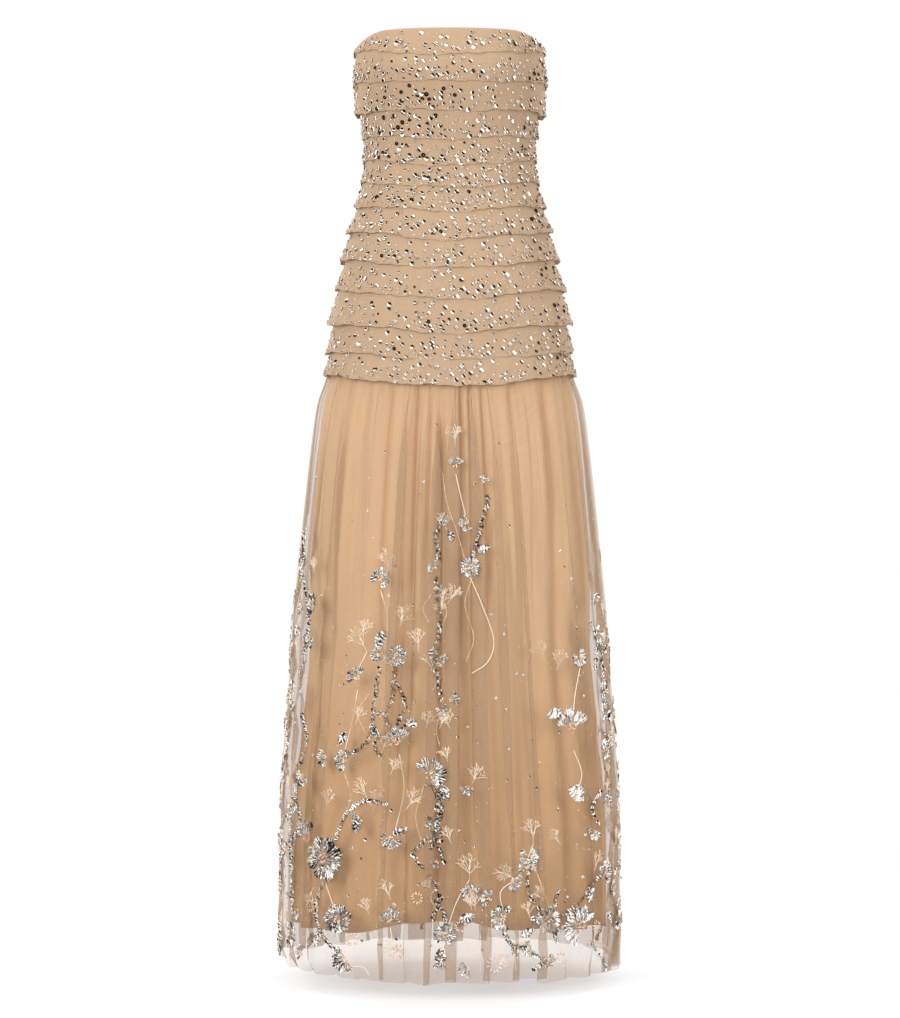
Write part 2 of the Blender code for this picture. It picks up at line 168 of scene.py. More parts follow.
TULLE_GATHER_DEPTH = 1.1 * MM
TULLE_GATHER_FADE = 0.16
SKIRT_WALL = 1.6 * MM

# The lining hangs inside the tulle's deepest folds by this room, in mm
LiningRoom = namedtuple("LiningRoom", "z room fold_depth")
LINING = (
    LiningRoom(-410, 0.7, 0.3),
    LiningRoom(-428, 1.2, 0.8),
    LiningRoom(-459, 3.4, 2.0),
    LiningRoom(-507, 2.4, 3.2),
    LiningRoom(-595, 2.8, 4.4),
    LiningRoom(-679, 4.0, 5.2),
    LiningRoom(-790, 12.0, 5.6),
    LiningRoom(-875, 9.0, 6.2),
    LiningRoom(-960, 5.5, 6.8),
    LiningRoom(-1058, 2.6, 7.4),
    LiningRoom(-1200, 1.8, 7.8),
)
LINING_TOP = -420.6 * MM
LINING_HEM_FRONT = -1166 * MM
LINING_HEM_SIDE = -1188 * MM
LINING_FOLDS = 24

# Creases given one by one: the angle and width in degrees, where each starts and ends as a share of
# the skirt's length, and how deep it is in mm
Crease = namedtuple("Crease", "angle width start end depth")
LINING_CREASES = (
    Crease(-68, 6.0, 0.30, 1.10, 8),
    Crease(-44, 5.0, 0.20, 1.10, 7),
    Crease(-31, 4.5, 0.45, 1.10, 8),
    Crease(-11, 5.0, 0.35, 1.10, 11),
    Crease(5, 5.0, 0.30, 1.10, 12),
    Crease(27, 5.0, 0.40, 1.10, 8),
    Crease(48, 6.0, 0.25, 1.10, 10),
    Crease(66, 5.0, 0.40, 1.10, 7),
    Crease(108, 6.0, 0.30, 1.10, 8),
    Crease(134, 5.0, 0.35, 1.10, 10),
    Crease(163, 6.0, 0.25, 1.10, 11),
    Crease(-170, 5.0, 0.40, 1.10, 10),
    Crease(-141, 6.0, 0.30, 1.10, 10),
    Crease(-112, 6.0, 0.30, 1.10, 8),
    Crease(-60, 2.0, 0.00, 0.55, 8),
    Crease(-49, 1.4, 0.00, 0.40, 5),
    Crease(-37, 1.7, 0.00, 0.62, 8),
    Crease(-28, 1.2, 0.05, 0.80, 7),
    Crease(-22, 1.5, 0.00, 0.50, 10),
    Crease(-13, 1.2, 0.02, 0.46, 8),
    Crease(-6, 1.9, 0.10, 1.05, 19),
    Crease(7, 1.4, 0.00, 0.60, 10),
    Crease(13, 1.3, 0.00, 0.95, 10),
    Crease(21, 1.4, 0.00, 0.55, 8),
    Crease(31, 1.3, 0.30, 1.05, 7),
    Crease(38, 2.0, 0.00, 0.70, 8),
    Crease(47, 1.4, 0.05, 0.50, 5),
    Crease(57, 1.9, 0.00, 1.05, 10),
    Crease(72, 2.0, 0.00, 0.75, 7),
    Crease(-75, 1.9, 0.10, 1.05, 8),
    Crease(98, 1.9, 0.00, 0.80, 8),
    Crease(113, 1.5, 0.00, 0.45, 7),
    Crease(124, 1.9, 0.10, 1.05, 12),
    Crease(141, 1.5, 0.00, 0.60, 8),
    Crease(155, 2.0, 0.00, 1.05, 14),
    Crease(171, 1.4, 0.00, 0.50, 8),
    Crease(-176, 1.7, 0.05, 1.05, 12),
    Crease(-164, 1.4, 0.00, 0.45, 7),
    Crease(-149, 1.9, 0.00, 0.80, 12),
    Crease(-134, 1.5, 0.20, 1.05, 8),
    Crease(-121, 1.7, 0.00, 0.55, 8),
    Crease(-102, 1.9, 0.00, 1.05, 10),
)

# Folds of the tulle that tip over, so that three layers show as a denser line
TULLE_CREASES = (
    Crease(-66, 3.0, 0.00, 0.80, 1.2),
    Crease(-41, 2.6, 0.00, 1.05, 1.5),
    Crease(-25, 2.4, 0.00, 0.85, 1.5),
    Crease(-7, 3.0, 0.12, 1.05, 2.2),
    Crease(4, 2.4, 0.00, 0.60, 1.6),
    Crease(13, 2.4, 0.05, 1.05, 1.5),
    Crease(23, 2.4, 0.00, 0.75, 1.3),
    Crease(39, 3.0, 0.00, 1.05, 1.8),
    Crease(58, 2.6, 0.10, 1.05, 1.6),
    Crease(76, 3.0, 0.00, 1.05, 1.6),
    Crease(101, 3.0, 0.00, 0.90, 1.5),
    Crease(127, 2.6, 0.10, 1.05, 1.8),
    Crease(149, 3.0, 0.00, 0.80, 1.5),
    Crease(166, 2.6, 0.00, 1.05, 1.8),
    Crease(-174, 2.4, 0.05, 0.70, 1.5),
    Crease(-157, 3.0, 0.00, 1.05, 1.9),
    Crease(-138, 2.4, 0.00, 0.85, 1.4),
    Crease(-116, 2.8, 0.10, 1.05, 1.7),
    Crease(-88, 2.8, 0.00, 1.05, 1.5),
)

# How far the sheer hem drops below its level, going round in degrees, in mm
HemDrop = namedtuple("HemDrop", "angle drop")
TULLE_HEM_LINE = (
    HemDrop(-180, 2),
    HemDrop(-150, -3),
    HemDrop(-120, 1),
    HemDrop(-90, -16),
    HemDrop(-70, -4),
    HemDrop(-45, 0),
    HemDrop(-20, 4),
    HemDrop(-7, 8),
    HemDrop(-4, 3),
    HemDrop(15, 4),
    HemDrop(32, 1),
    HemDrop(40, 5),
    HemDrop(60, 3),
    HemDrop(90, 6),
    HemDrop(120, 0),
    HemDrop(150, -4),
    HemDrop(180, 2),
)

# Silver flowers seen from the front: across and height of the centre, radius, how far round
# the petals go and which way they face, in mm and degrees, and the number of petals
Flower = namedtuple("Flower", "across z radius fan facing petals")
FRONT_FLOWERS = (
    Flower(-171, -1080, 31, 360, 0, 8),
    Flower(-194, -1054, 27, 130, 120, 4),
    Flower(-151, -1161, 22, 360, 20, 7),
    Flower(-142, -1213, 21, 200, 215, 5),
    Flower(-79, -1049, 16, 210, 250, 4),
    Flower(-94, -701, 15, 300, 60, 6),
    Flower(7, -549, 13, 150, 90, 4),
    Flower(23, -627, 12, 240, 200, 5),
    Flower(44, -572, 11, 120, 70, 3),
    Flower(27, -686, 15, 360, 0, 7),
    Flower(-21, -687, 11, 200, 150, 4),
    Flower(-74, -806, 16, 360, 10, 7),
    Flower(-96, -804, 12, 260, 190, 5),
    Flower(-125, -836, 17, 150, 130, 4),
    Flower(-71, -920, 22, 150, 100, 5),
    Flower(-142, -947, 17, 220, 160, 5),
    Flower(-170, -944, 14, 180, 200, 4),
    Flower(-201, -972, 16, 200, 240, 5),
    Flower(-27, -964, 25, 190, 60, 6),
    Flower(23, -981, 11, 200, 260, 4),
    Flower(177, -810, 14, 300, 300, 6),
    Flower(165, -905, 31, 150, 95, 6),
    Flower(170, -993, 16, 110, 40, 3),
    Flower(197, -1046, 14, 200, 250, 4),
    Flower(106, -1073, 15, 300, 280, 6),
    Flower(132, -1159, 18, 360, 30, 7),
    Flower(177, -1173, 31, 230, 140, 7),
    Flower(212, -1104, 18, 300, 70, 6),
    Flower(71, -1155, 19, 260, 175, 6),
    Flower(27, -1121, 14, 240, 120, 5),
    Flower(-7, -1177, 16, 280, 60, 6),
    Flower(-14, -1211, 15, 90, 265, 3),
    Flower(108, -1197, 13, 220, 200, 5),
    Flower(132, -1213, 11, 260, 300, 5),
    Flower(-80, -1159, 15, 200, 90, 5),
    Flower(24, -1222, 14, 160, 210, 4),
    Flower(-202, -685, 16, 240, 100, 5),
    Flower(-190, -734, 13, 200, 40, 4),
    Flower(-194, -787, 15, 260, 250, 5),
    Flower(-218, -857, 16, 240, 60, 5),
    Flower(-215, -1009, 17, 220, 300, 5),
    Flower(-219, -1189, 19, 300, 0, 6),
    Flower(201, -733, 12, 220, 120, 4),
    Flower(204, -780, 15, 260, 200, 5),
    Flower(212, -857, 17, 240, 100, 5),
    Flower(214, -940, 13, 220, 300, 4),
    Flower(216, -1009, 15, 260, 80, 5),
)

# Pointed silver leaves: the place of the stalk, the length and where it points
Leaf = namedtuple("Leaf", "across z length facing")
FRONT_LEAVES = (
    Leaf(-88, -772, 26, 245),
    Leaf(162, -985, 30, 320),
    Leaf(-12, -1196, 26, 265),
    Leaf(-58, -1036, 22, 200),
    Leaf(150, -880, 24, 200),
    Leaf(38, -664, 18, 20),
    Leaf(-150, -925, 20, 60),
    Leaf(96, -1180, 20, 30),
    Leaf(-178, -1180, 22, 250),
    Leaf(188, -1140, 22, 60),
    Leaf(-60, -890, 20, 330),
)

# Branching sprigs of cream thread with peach beads at their tips
Sprig = namedtuple("Sprig", "across z height facing")
FRONT_SPRIGS = (
    Sprig(7, -524, 27, 92),
    Sprig(-84, -692, 26, 100),
    Sprig(-112, -800, 34, 125),
    Sprig(-122, -780, 24, 60),
    Sprig(128, -812, 24, 110),
    Sprig(145, -826, 26, 70),
    Sprig(112, -1058, 30, 95),
    Sprig(26, -1104, 32, 92),
    Sprig(88, -1104, 26, 150),
    Sprig(-62, -1202, 26, 160),
    Sprig(60, -1222, 22, 40),
    Sprig(-168, -1014, 24, 80),
    Sprig(-60, -1012, 28, 60),
    Sprig(30, -976, 24, 70),
    Sprig(216, -1000, 20, 85),
    Sprig(-42, -800, 30, 100),
    Sprig(-68, -766, 26, 75),
    Sprig(-186, -694, 20, 110),
    Sprig(196, -1100, 24, 60),
    Sprig(-128, -898, 22, 70),
    Sprig(-12, -742, 26, 85),
    Sprig(150, -1060, 22, 130),
    Sprig(-185, -1120, 24, 240),
)

# Trails across the front: chains of overlapping sequins, strings of beads, or thread stems
Trail = namedtuple("Trail", "kind points")
FRONT_TRAILS = (
    Trail("chain", ((-171, -1111), (-181, -1147), (-174, -1180), (-153, -1204))),
    Trail("chain", ((-154, -1053), (-138, -1017), (-114, -1000), (-84, -1003))),
    Trail("chain", ((106, -1088), (103, -1113), (118, -1143), (132, -1153))),
    Trail("chain", ((149, -1157), (177, -1137), (192, -1118), (206, -1104))),
    Trail("chain", ((191, -1196), (204, -1217), (214, -1236))),
    Trail("chain", ((-217, -1030), (-216, -1091), (-214, -1160))),
    Trail("chain", ((-73, -821), (-78, -857), (-86, -888), (-72, -915))),
    Trail("chain", ((-24, -977), (-11, -1008), (-19, -1044), (-8, -1080))),
    Trail("chain", ((-94, -821), (-102, -871), (-110, -919), (-138, -940))),
    Trail("chain", ((52, -590), (40, -640), (30, -672))),
    Trail("chain", ((-20, -700), (-14, -756), (-20, -810), (-12, -863))),
    Trail("chain", ((204, -792), (208, -826), (210, -900))),
    Trail("chain", ((-200, -700), (-192, -760), (-204, -842))),
    Trail("chain", ((70, -1170), (84, -1192), (106, -1197))),
    Trail("beads", ((110, -1080), (122, -1110), (132, -1140))),
    Trail("beads", ((30, -700), (20, -736), (32, -780), (22, -812))),
    Trail("beads", ((-10, -560), (-4, -600), (10, -640), (20, -676))),
    Trail("beads", ((-142, -965), (-134, -995), (-146, -1030))),
    Trail("beads", ((186, -1190), (206, -1200), (222, -1216))),
    Trail("beads", ((-36, -980), (-46, -1020), (-36, -1060))),
    Trail("stem", ((27, -699), (43, -736), (59, -783), (51, -813), (29, -829))),
    Trail("stem", ((-94, -717), (-84, -757), (-89, -797))),
    Trail("stem", ((8, -561), (16, -596), (23, -623))),
    Trail("stem", ((-68, -937), (-62, -984), (-74, -1040))),
    Trail("stem", ((88, -1104), (68, -1120), (71, -1145))),
    Trail("stem", ((177, -824), (171, -854), (167, -883))),
    Trail("stem", ((168, -935), (179, -966), (172, -992))),
    Trail("stem", ((-168, -1114), (-157, -1144), (-153, -1150))),
    Trail("stem", ((-142, -1224), (-118, -1222), (-108, -1234))),
    Trail("stem", ((26, -1104), (10, -1131), (-3, -1166))),
    Trail("stem", ((-125, -852), (-132, -892), (-142, -933))),
    Trail("stem", ((-62, -1202), (-76, -1190), (-80, -1168))),
    Trail("stem", ((112, -1058), (109, -1064), (106, -1073))),
    Trail("stem", ((-112, -800), (-122, -820), (-125, -836))),
)

# Upright strips where small work crowds together: the middle angle and half width in
# degrees, the top and bottom in mm, and how many motifs
Strip = namedtuple("Strip", "angle width top bottom count")
FRONT_STRIPS = (
    Strip(-72, 13, -660, -1215, 46),
    Strip(74, 12, -690, -1215, 34),
    Strip(-5, 6, -590, -1180, 34),
    Strip(-30, 8, -760, -1160, 14),
    Strip(34, 10, -1060, -1215, 12),
    Strip(12, 6, -1060, -1180, 6),
)

# Rings of short peach strokes
Burst = namedtuple("Burst", "across z radius")
FRONT_BURSTS = (
    Burst(60, -1217, 13),
    Burst(-70, -1200, 12),
    Burst(-132, -1186, 10),
    Burst(150, -1212, 10),
    Burst(14, -1166, 9),
    Burst(-44, -1128, 9),
    Burst(200, -1176, 10),
    Burst(-190, -1146, 10),
)

# Counts of points across and down the sheets
BASE_GRID = (90, 60)
TIER_COLUMNS = 170
TIER_ROWS_DOWN = 9
TULLE_GRID = (620, 66)
LINING_GRID = (380, 44)
LINING_WALL = 0.6 * MM
# The tulle's rows are closer near its gathered top, by this power
TULLE_ROW_POWER = 1.15


class GownSizes(PropertyGroup):
    """Sizes and amounts that change how richly the gown is trimmed."""

    sequins_per_tier: IntProperty(
        name="Sequins per tier", description="Round sequins on one tier", default=250, min=0
    )
    beads_per_tier: IntProperty(
        name="Beads per tier", description="Small beads on one tier", default=170, min=0
    )
    skirt_sequins: IntProperty(
        name="Loose skirt sequins",
        description="Single sequins scattered over the skirt",
        default=620,
        min=0,
    )
    sequin_size: FloatProperty(
        name="Sequin size",
        description="Diameter of a middle-sized sequin",
        default=5.5 * MM,
        unit="LENGTH",
        precision=4,
    )
    floor_height: FloatProperty(
        name="Floor height",
        description="Height of the studio floor",
        default=CAD_BOX[0][2] - 0.02,
        unit="LENGTH",
    )


class GownColours(PropertyGroup):
    """Colours of the gown's cloths and trimmings, as linear values."""

    base: FloatVectorProperty(
        name="Base",
        description="Nude cloth under the tiers",
        default=(0.50, 0.335, 0.20),
        subtype="COLOR",
    )
    tier: FloatVectorProperty(
        name="Tiers",
        description="Champagne tulle of the tiers",
        default=(0.505, 0.352, 0.225),
        subtype="COLOR",
    )
    tulle: FloatVectorProperty(
        name="Skirt tulle",
        description="Sheer tulle of the skirt",
        default=(0.44, 0.29, 0.175),
        subtype="COLOR",
    )
    lining: FloatVectorProperty(
        name="Lining",
        description="Nude lining of the skirt",
        default=(0.73, 0.49, 0.285),
        subtype="COLOR",
    )
    silver: FloatVectorProperty(
        name="Silver", description="Sequins and petals", default=(0.90, 0.89, 0.87), subtype="COLOR"
    )
    peach: FloatVectorProperty(
        name="Peach", description="Small beads", default=(0.80, 0.51, 0.33), subtype="COLOR"
    )
    cream: FloatVectorProperty(
        name="Cream", description="Embroidery thread", default=(0.88, 0.76, 0.60), subtype="COLOR"
    )


def smoothstep(low, high, value):
    share = np.clip((value - low) / (high - low), 0, 1)
    return share * share * (3 - 2 * share)


def column_at(table, name, z):
    """A table's column at heights z, in metres, on a smooth curve through its rows."""
    heights = np.array([row.z for row in table]) * MM
    values = np.array([getattr(row, name) for row in table]) * MM
    slopes = np.empty(len(values))
    slopes[1:-1] = (values[2:] - values[:-2]) / (heights[2:] - heights[:-2])
    slopes[0] = (values[1] - values[0]) / (heights[1] - heights[0])
    slopes[-1] = (values[-1] - values[-2]) / (heights[-1] - heights[-2])
    z = np.clip(z, heights[-1], heights[0])
    i = np.clip(np.searchsorted(-heights, -z, side="right") - 1, 0, len(values) - 2)
    step = heights[i + 1] - heights[i]
    t = (z - heights[i]) / step
    return (
        values[i] * (2 * t**3 - 3 * t**2 + 1)
        + slopes[i] * step * (t**3 - 2 * t**2 + t)
        + values[i + 1] * (3 * t**2 - 2 * t**3)
        + slopes[i + 1] * step * (t**3 - t**2)
    )


def table_radius(table, angle, z):
    """How far a rounded oval section reaches from the axis in each direction."""
    front, back = column_at(table, "front_depth", z), column_at(table, "back_depth", z)
    depth = np.where(np.cos(angle) > 0, front, back)
    across = (np.abs(np.sin(angle)) / column_at(table, "half_width", z)) ** SECTION_POWER
    along = (np.abs(np.cos(angle)) / depth) ** SECTION_POWER
    return (across + along) ** (-1 / SECTION_POWER)


def signed(angle):
    """Angles kept between -180 and 180 degrees."""
    return (np.asarray(angle) + math.pi) % TURN - math.pi


def torso_radius(angle, z):
    """The outside of the base bodice, cups included."""
    off_cup = (np.abs(signed(angle)) - CUP_ANGLE) / CUP_SPREAD_ANGLE
    off_height = (z - CUP_HEIGHT) / CUP_SPREAD_HEIGHT
    return table_radius(TORSO, angle, z) + CUP_SWELL * np.exp(-(off_cup**2) - off_height**2)


def neckline(angle):
    dip = smoothstep(NECK_DIP_FROM, NECK_DIP_TO, np.abs(signed(angle)))
    return NECK_FRONT + (NECK_SIDE - NECK_FRONT) * dip


def round_the_body(front, side, back, angle):
    """A size that goes from its front to its side to its back value round the gown."""
    far = np.where(np.cos(angle) > 0, front, back)
    return far + (side - far) * np.sin(angle) ** 2


def tier_edge(index, angle):
    tier = TIERS[index]
    level = round_the_body(tier.edge_front, tier.edge_side, tier.edge_back, angle) * MM
    return level + TIER_EDGE_LIFT * np.sin(TIER_EDGE_WAVES * angle + tier.phase)


def tier_root(index, angle):
    """Where a tier is sewn on, under the edge of the tier above it."""
    top = neckline(angle)
    if index == 0:
        return top
    above = tier_edge(index - 1, angle)
    return above + np.minimum(TIER_OVERLAP, TIER_OVERLAP_SHARE * (top - above))


def round_points(angle, radius, z):
    return np.stack([radius * np.sin(angle), -radius * np.cos(angle), z], axis=-1)


def base_surface(angle, share):
    top = neckline(angle)
    z = top + (BASE_BOTTOM - top) * share
    return round_points(angle, torso_radius(angle, z) - BASE_WALL / 2, z)


def tier_surface(index):
    """A tier's cloth: share 0 to 1 runs down its face, and 1 to 2 up its folded-under edge."""
    tier = TIERS[index]

    def surface(angle, share):
        down = np.clip(share, 0, 1)
        turned = np.clip(share - 1, 0, 1)
        root, edge = tier_root(index, angle), tier_edge(index, angle)
        small = np.sin(23 * angle + 3 * tier.phase) + 0.7 * np.sin(41 * angle + 5 * tier.phase)
        uneven = np.sin(13 * angle + 2 * tier.phase) + 0.8 * np.sin(29 * angle + 7 * tier.phase)
        edge = edge + TIER_UNEVEN * (uneven + 0.4 * np.sin(67 * angle + 3 * tier.phase))
        z = root + (edge - root) * down
        flare = round_the_body(tier.flare_middle, tier.flare_side, tier.flare_middle, angle) * MM
        wave = tier.wave * MM * np.sin(TIER_WAVES * angle + tier.phase) + TIER_RIPPLE * small
        off = SEAM_GAP + (flare - TIER_WALL - SEAM_GAP) * down**TIER_FLARE_POWER
        if index < len(TIERS) - 1:
            off = off * (0.5 + 0.5 * np.sin(angle) ** 4)
        radius = torso_radius(angle, z) + off + wave * down**2 + 0.8 * TIER_WALL
        radius = radius - TIER_TURN_DEPTH * (1 - (1 - turned) ** 4)
        return round_points(angle, radius, z + TIER_TURN_UP * turned**2)

    return surface


def fold_phase(angle, count):
    return count * angle + 0.9 * np.sin(3 * angle + 1.0) + 0.6 * np.sin(7 * angle + 2.0)


def fold_strength(angle):
    return 0.74 + 0.26 * np.sin(5 * angle + 0.4)


def crease_weight(creases, angle, share, part):
    """The summed pull of the given creases at each place."""
    total = np.zeros(np.broadcast(angle, share).shape)
    for crease in creases:
        off = np.degrees(signed(angle - math.radians(crease.angle))) / crease.width
        ends = smoothstep(crease.start - 0.06, crease.start + 0.08, share)
        ends = ends * (1 - smoothstep(crease.end - 0.16, crease.end, share))
        total = total + crease.depth * ends * part(off)
    return total


def trough(off):
    return np.exp(-(off**2))


def tip_over(off):
    return off * np.exp(-(off**2)) * math.sqrt(2 * math.e)


def hem_drop(angle):
    angles = np.array([row.angle for row in TULLE_HEM_LINE])
    drops = np.array([row.drop for row in TULLE_HEM_LINE]) * MM
    return np.interp(np.degrees(signed(angle)), angles, drops)


def held_flat(angle, z):
    """How flat the embroidery holds the tulle at each place, from 0 to 1."""
    across = np.asarray(angle) % TURN / TURN * HELD_COLUMNS
    down = np.clip((TULLE_TOP - z) / HELD_STEP, 0, len(HELD_MAP) - 1.001)
    i, j = down.astype(int), across.astype(int) % HELD_COLUMNS
    f, g, k = down - i, across % 1, (j + 1) % HELD_COLUMNS
    upper = HELD_MAP[i, j] * (1 - g) + HELD_MAP[i, k] * g
    lower = HELD_MAP[i + 1, j] * (1 - g) + HELD_MAP[i + 1, k] * g
    return upper * (1 - f) + lower * f


def tulle_at(angle, z):
    """A point of the sheer skirt, folds and gathers included."""
    share = (TULLE_TOP - z) / (TULLE_TOP - TULLE_HEM)
    angle, z, share = np.broadcast_arrays(angle, z, share)
    calm = 1 - 0.85 * held_flat(angle, z)
    phase = fold_phase(angle, TULLE_FOLDS) + 1.1 * np.sin(3 * angle + 0.7 + 2 * share) * (
        share - 0.3
    )
    phase = phase + 0.5 * np.sin(5 * angle - 3.5 * share) * share
    deep = 2 * column_at(TULLE, "fold_depth", z) * fold_strength(angle) * calm
    radius = table_radius(TULLE, angle, z) - deep * (1 - np.cos(phase)) / 2
    fine = np.exp(-share / TULLE_GATHER_FADE) * np.cos(
        TULLE_GATHERS * angle + 2 * np.sin(5 * angle)
    )
    radius = radius - TULLE_GATHER_DEPTH * fine * smoothstep(0, 0.02, share + 0.005)
    ripple = np.sin(2 * phase + 3 * share) + 0.6 * np.sin(89 * angle + 5 * share)
    radius = radius - 0.5 * MM * calm * smoothstep(0.05, 0.4, share) * (1 + ripple)
    turn_over = 1.9 + 0.9 * np.sin(4 * angle + 1) + 0.6 * np.sin(11 * angle + 0.8 * share)
    turn_over = turn_over + 0.5 * np.sin(23 * angle - share)
    sway = turn_over * np.sin(phase + 0.8) / TULLE_FOLDS * smoothstep(0, 0.2, share)
    sway = sway + 1.3 * fine * np.sin(TULLE_GATHERS * angle) / TULLE_GATHERS
    tip = np.radians(crease_weight(TULLE_CREASES, angle, share, tip_over))
    return round_points(angle + sway - tip, radius, z)


def embroidered_at(angle, z):
    """Where the embroidery lies, on the ridges of the folds that it holds shallow."""
    return round_points(angle, table_radius(TULLE, angle, z) - 0.8 * MM, z)


def skirt_surface(angle, share):
    hem = TULLE_HEM - hem_drop(angle)
    hem = hem + 0.8 * MM * np.sin(61 * angle) + 1.1 * MM * np.sin(23 * angle + 1)
    return tulle_at(angle, TULLE_TOP + (hem - TULLE_TOP) * share)


def lining_surface(angle, share):
    hem = round_the_body(LINING_HEM_FRONT, LINING_HEM_SIDE, LINING_HEM_SIDE, angle)
    hem = hem + 3.5 * MM * np.sin(5 * angle + 2) + 2 * MM * np.sin(11 * angle)
    z = LINING_TOP + (hem - LINING_TOP) * share
    room = column_at(LINING, "room", z) + SKIRT_WALL + 2 * column_at(TULLE, "fold_depth", z)
    deep = 2 * column_at(LINING, "fold_depth", z) * fold_strength(angle + 0.5)
    phase = fold_phase(angle + 0.5, LINING_FOLDS)
    creased = crease_weight(LINING_CREASES, angle, share, trough) * MM
    small = 0.5 * MM * np.sin(53 * angle + 4 * share) * smoothstep(0, 0.1, share)
    radius = table_radius(TULLE, angle, z) - room - deep * (1 - np.cos(phase)) / 2
    return round_points(angle, radius - creased - small - 0.6 * MM, z)


def angle_seen_at(across, z):
    """The angle of the place on the skirt's front that is this far across."""
    angles = np.radians(np.linspace(-90, 90, 361))
    spots = table_radius(TULLE, angles, np.full(361, z)) * np.sin(angles)
    return float(np.interp(across, spots, angles))


# A motif placed on the skirt: its angle, height and reach, in radians and metres
Motif = namedtuple("Motif", "kind angle z size")
STRIP_MOTIFS = {
    "flower": (9, 14),
    "leaf": (14, 24),
    "sprig": (16, 26),
    "beads": (30, 70),
    "chain": (30, 70),
}
STRIP_SHARES = (0.3, 0.14, 0.32, 0.14, 0.1)
STRIP_SEED = 29
BACK_FLOWER_SEED = 43
BACK_SPRIG_SEED = 44
BACK_TRAIL_SEED = 45
# The lowest that motifs, leaves and the ends of trails are placed, on the back and sides
LOWEST_MOTIF = -1218 * MM
LOWEST_LEAF = -1222 * MM
LOWEST_TRAIL = -1225 * MM
HELD_COLUMNS = 720
HELD_STEP = 3 * MM


def motifs_in_strips(rng):
    """Small motifs crowded along the front's upright strips."""
    motifs = []
    for strip in FRONT_STRIPS:
        for kind in rng.choice(list(STRIP_MOTIFS), strip.count, p=STRIP_SHARES):
            angle = math.radians(rng.uniform(strip.angle - strip.width, strip.angle + strip.width))
            z = strip.top + (strip.bottom - strip.top) * rng.random() ** 0.8
            motifs.append(Motif(kind, angle, z * MM, rng.uniform(*STRIP_MOTIFS[kind]) * MM))
    return motifs


def motifs_round_back(rng, kind, count, top, least, sizes_in_mm, shares):
    """Places from side to side round the back, crowding towards the hem."""
    chosen = []
    while len(chosen) < count:
        angle = rng.uniform(math.radians(76), math.radians(284))
        z = top + (LOWEST_MOTIF - top) * rng.random() ** 0.62
        room = least * rng.uniform(0.7, 1.2)
        if all(math.hypot((angle - other.angle) * 0.19, z - other.z) > room for other in chosen):
            chosen.append(Motif(kind, angle, z, rng.choice(sizes_in_mm, p=shares) * MM))
    return chosen


CROWDED_MOTIFS = motifs_in_strips(np.random.default_rng(STRIP_SEED))
BACK_FLOWERS = motifs_round_back(
    np.random.default_rng(BACK_FLOWER_SEED),
    "flower",
    64,
    -560 * MM,
    44 * MM,
    (12, 15, 18, 24, 30),
    (0.28, 0.28, 0.24, 0.12, 0.08),
)
BACK_SPRIGS = motifs_round_back(
    np.random.default_rng(BACK_SPRIG_SEED),
    "sprig",
    30,
    -520 * MM,
    60 * MM,
    (22, 27, 32),
    (0.3, 0.4, 0.3),
)


def fall_from(motif, length, bend):
    """The line of a trail that hangs from a motif, to the side and back."""
    low = max(motif.z - length, LOWEST_TRAIL)
    return np.array(
        [
            (motif.angle, motif.z),
            (motif.angle + bend, (motif.z + low) / 2),
            (motif.angle + bend / 4, low),
        ]
    )


def trails_from(motifs, rng):
    """Trails that hang from every third or fifth motif."""
    return [
        (kind, fall_from(motif, rng.uniform(60, 120) * MM, rng.uniform(-0.14, 0.14)))
        for kind, each in (("chain", 3), ("stem", 3), ("beads", 5))
        for motif in motifs[::each]
    ]


def smooth_line(points, count):
    """Points on a smooth curve through the given ones."""
    points = np.array(points, float)
    grown = np.vstack([2 * points[0] - points[1], points, 2 * points[-1] - points[-2]])
    t = np.linspace(0, len(points) - 1 - 1e-9, count)
    i = t.astype(int)
    f = (t - i)[:, None]
    a, b, c, d = grown[i], grown[i + 1], grown[i + 2], grown[i + 3]
    return 0.5 * (
        2 * b + (c - a) * f + (2 * a - 5 * b + 4 * c - d) * f**2 + (3 * b - a - 3 * c + d) * f**3
    )


BACK_TRAILS = trails_from(BACK_FLOWERS, np.random.default_rng(BACK_TRAIL_SEED))
CROWDED_TRAILS = [
    (motif.kind, fall_from(motif, motif.size, 0.09 * math.sin(40 * motif.angle + 90 * motif.z)))
    for motif in CROWDED_MOTIFS
    if motif.kind in ("beads", "chain")
]


def sprig_middle(angle, z, height, facing):
    """The middle of a sprig, and how far round it the tulle is held."""
    lean = math.radians(facing)
    return (
        angle + 0.5 * height * math.cos(lean) / 0.2,
        z + 0.5 * height * math.sin(lean),
        0.6 * height,
    )


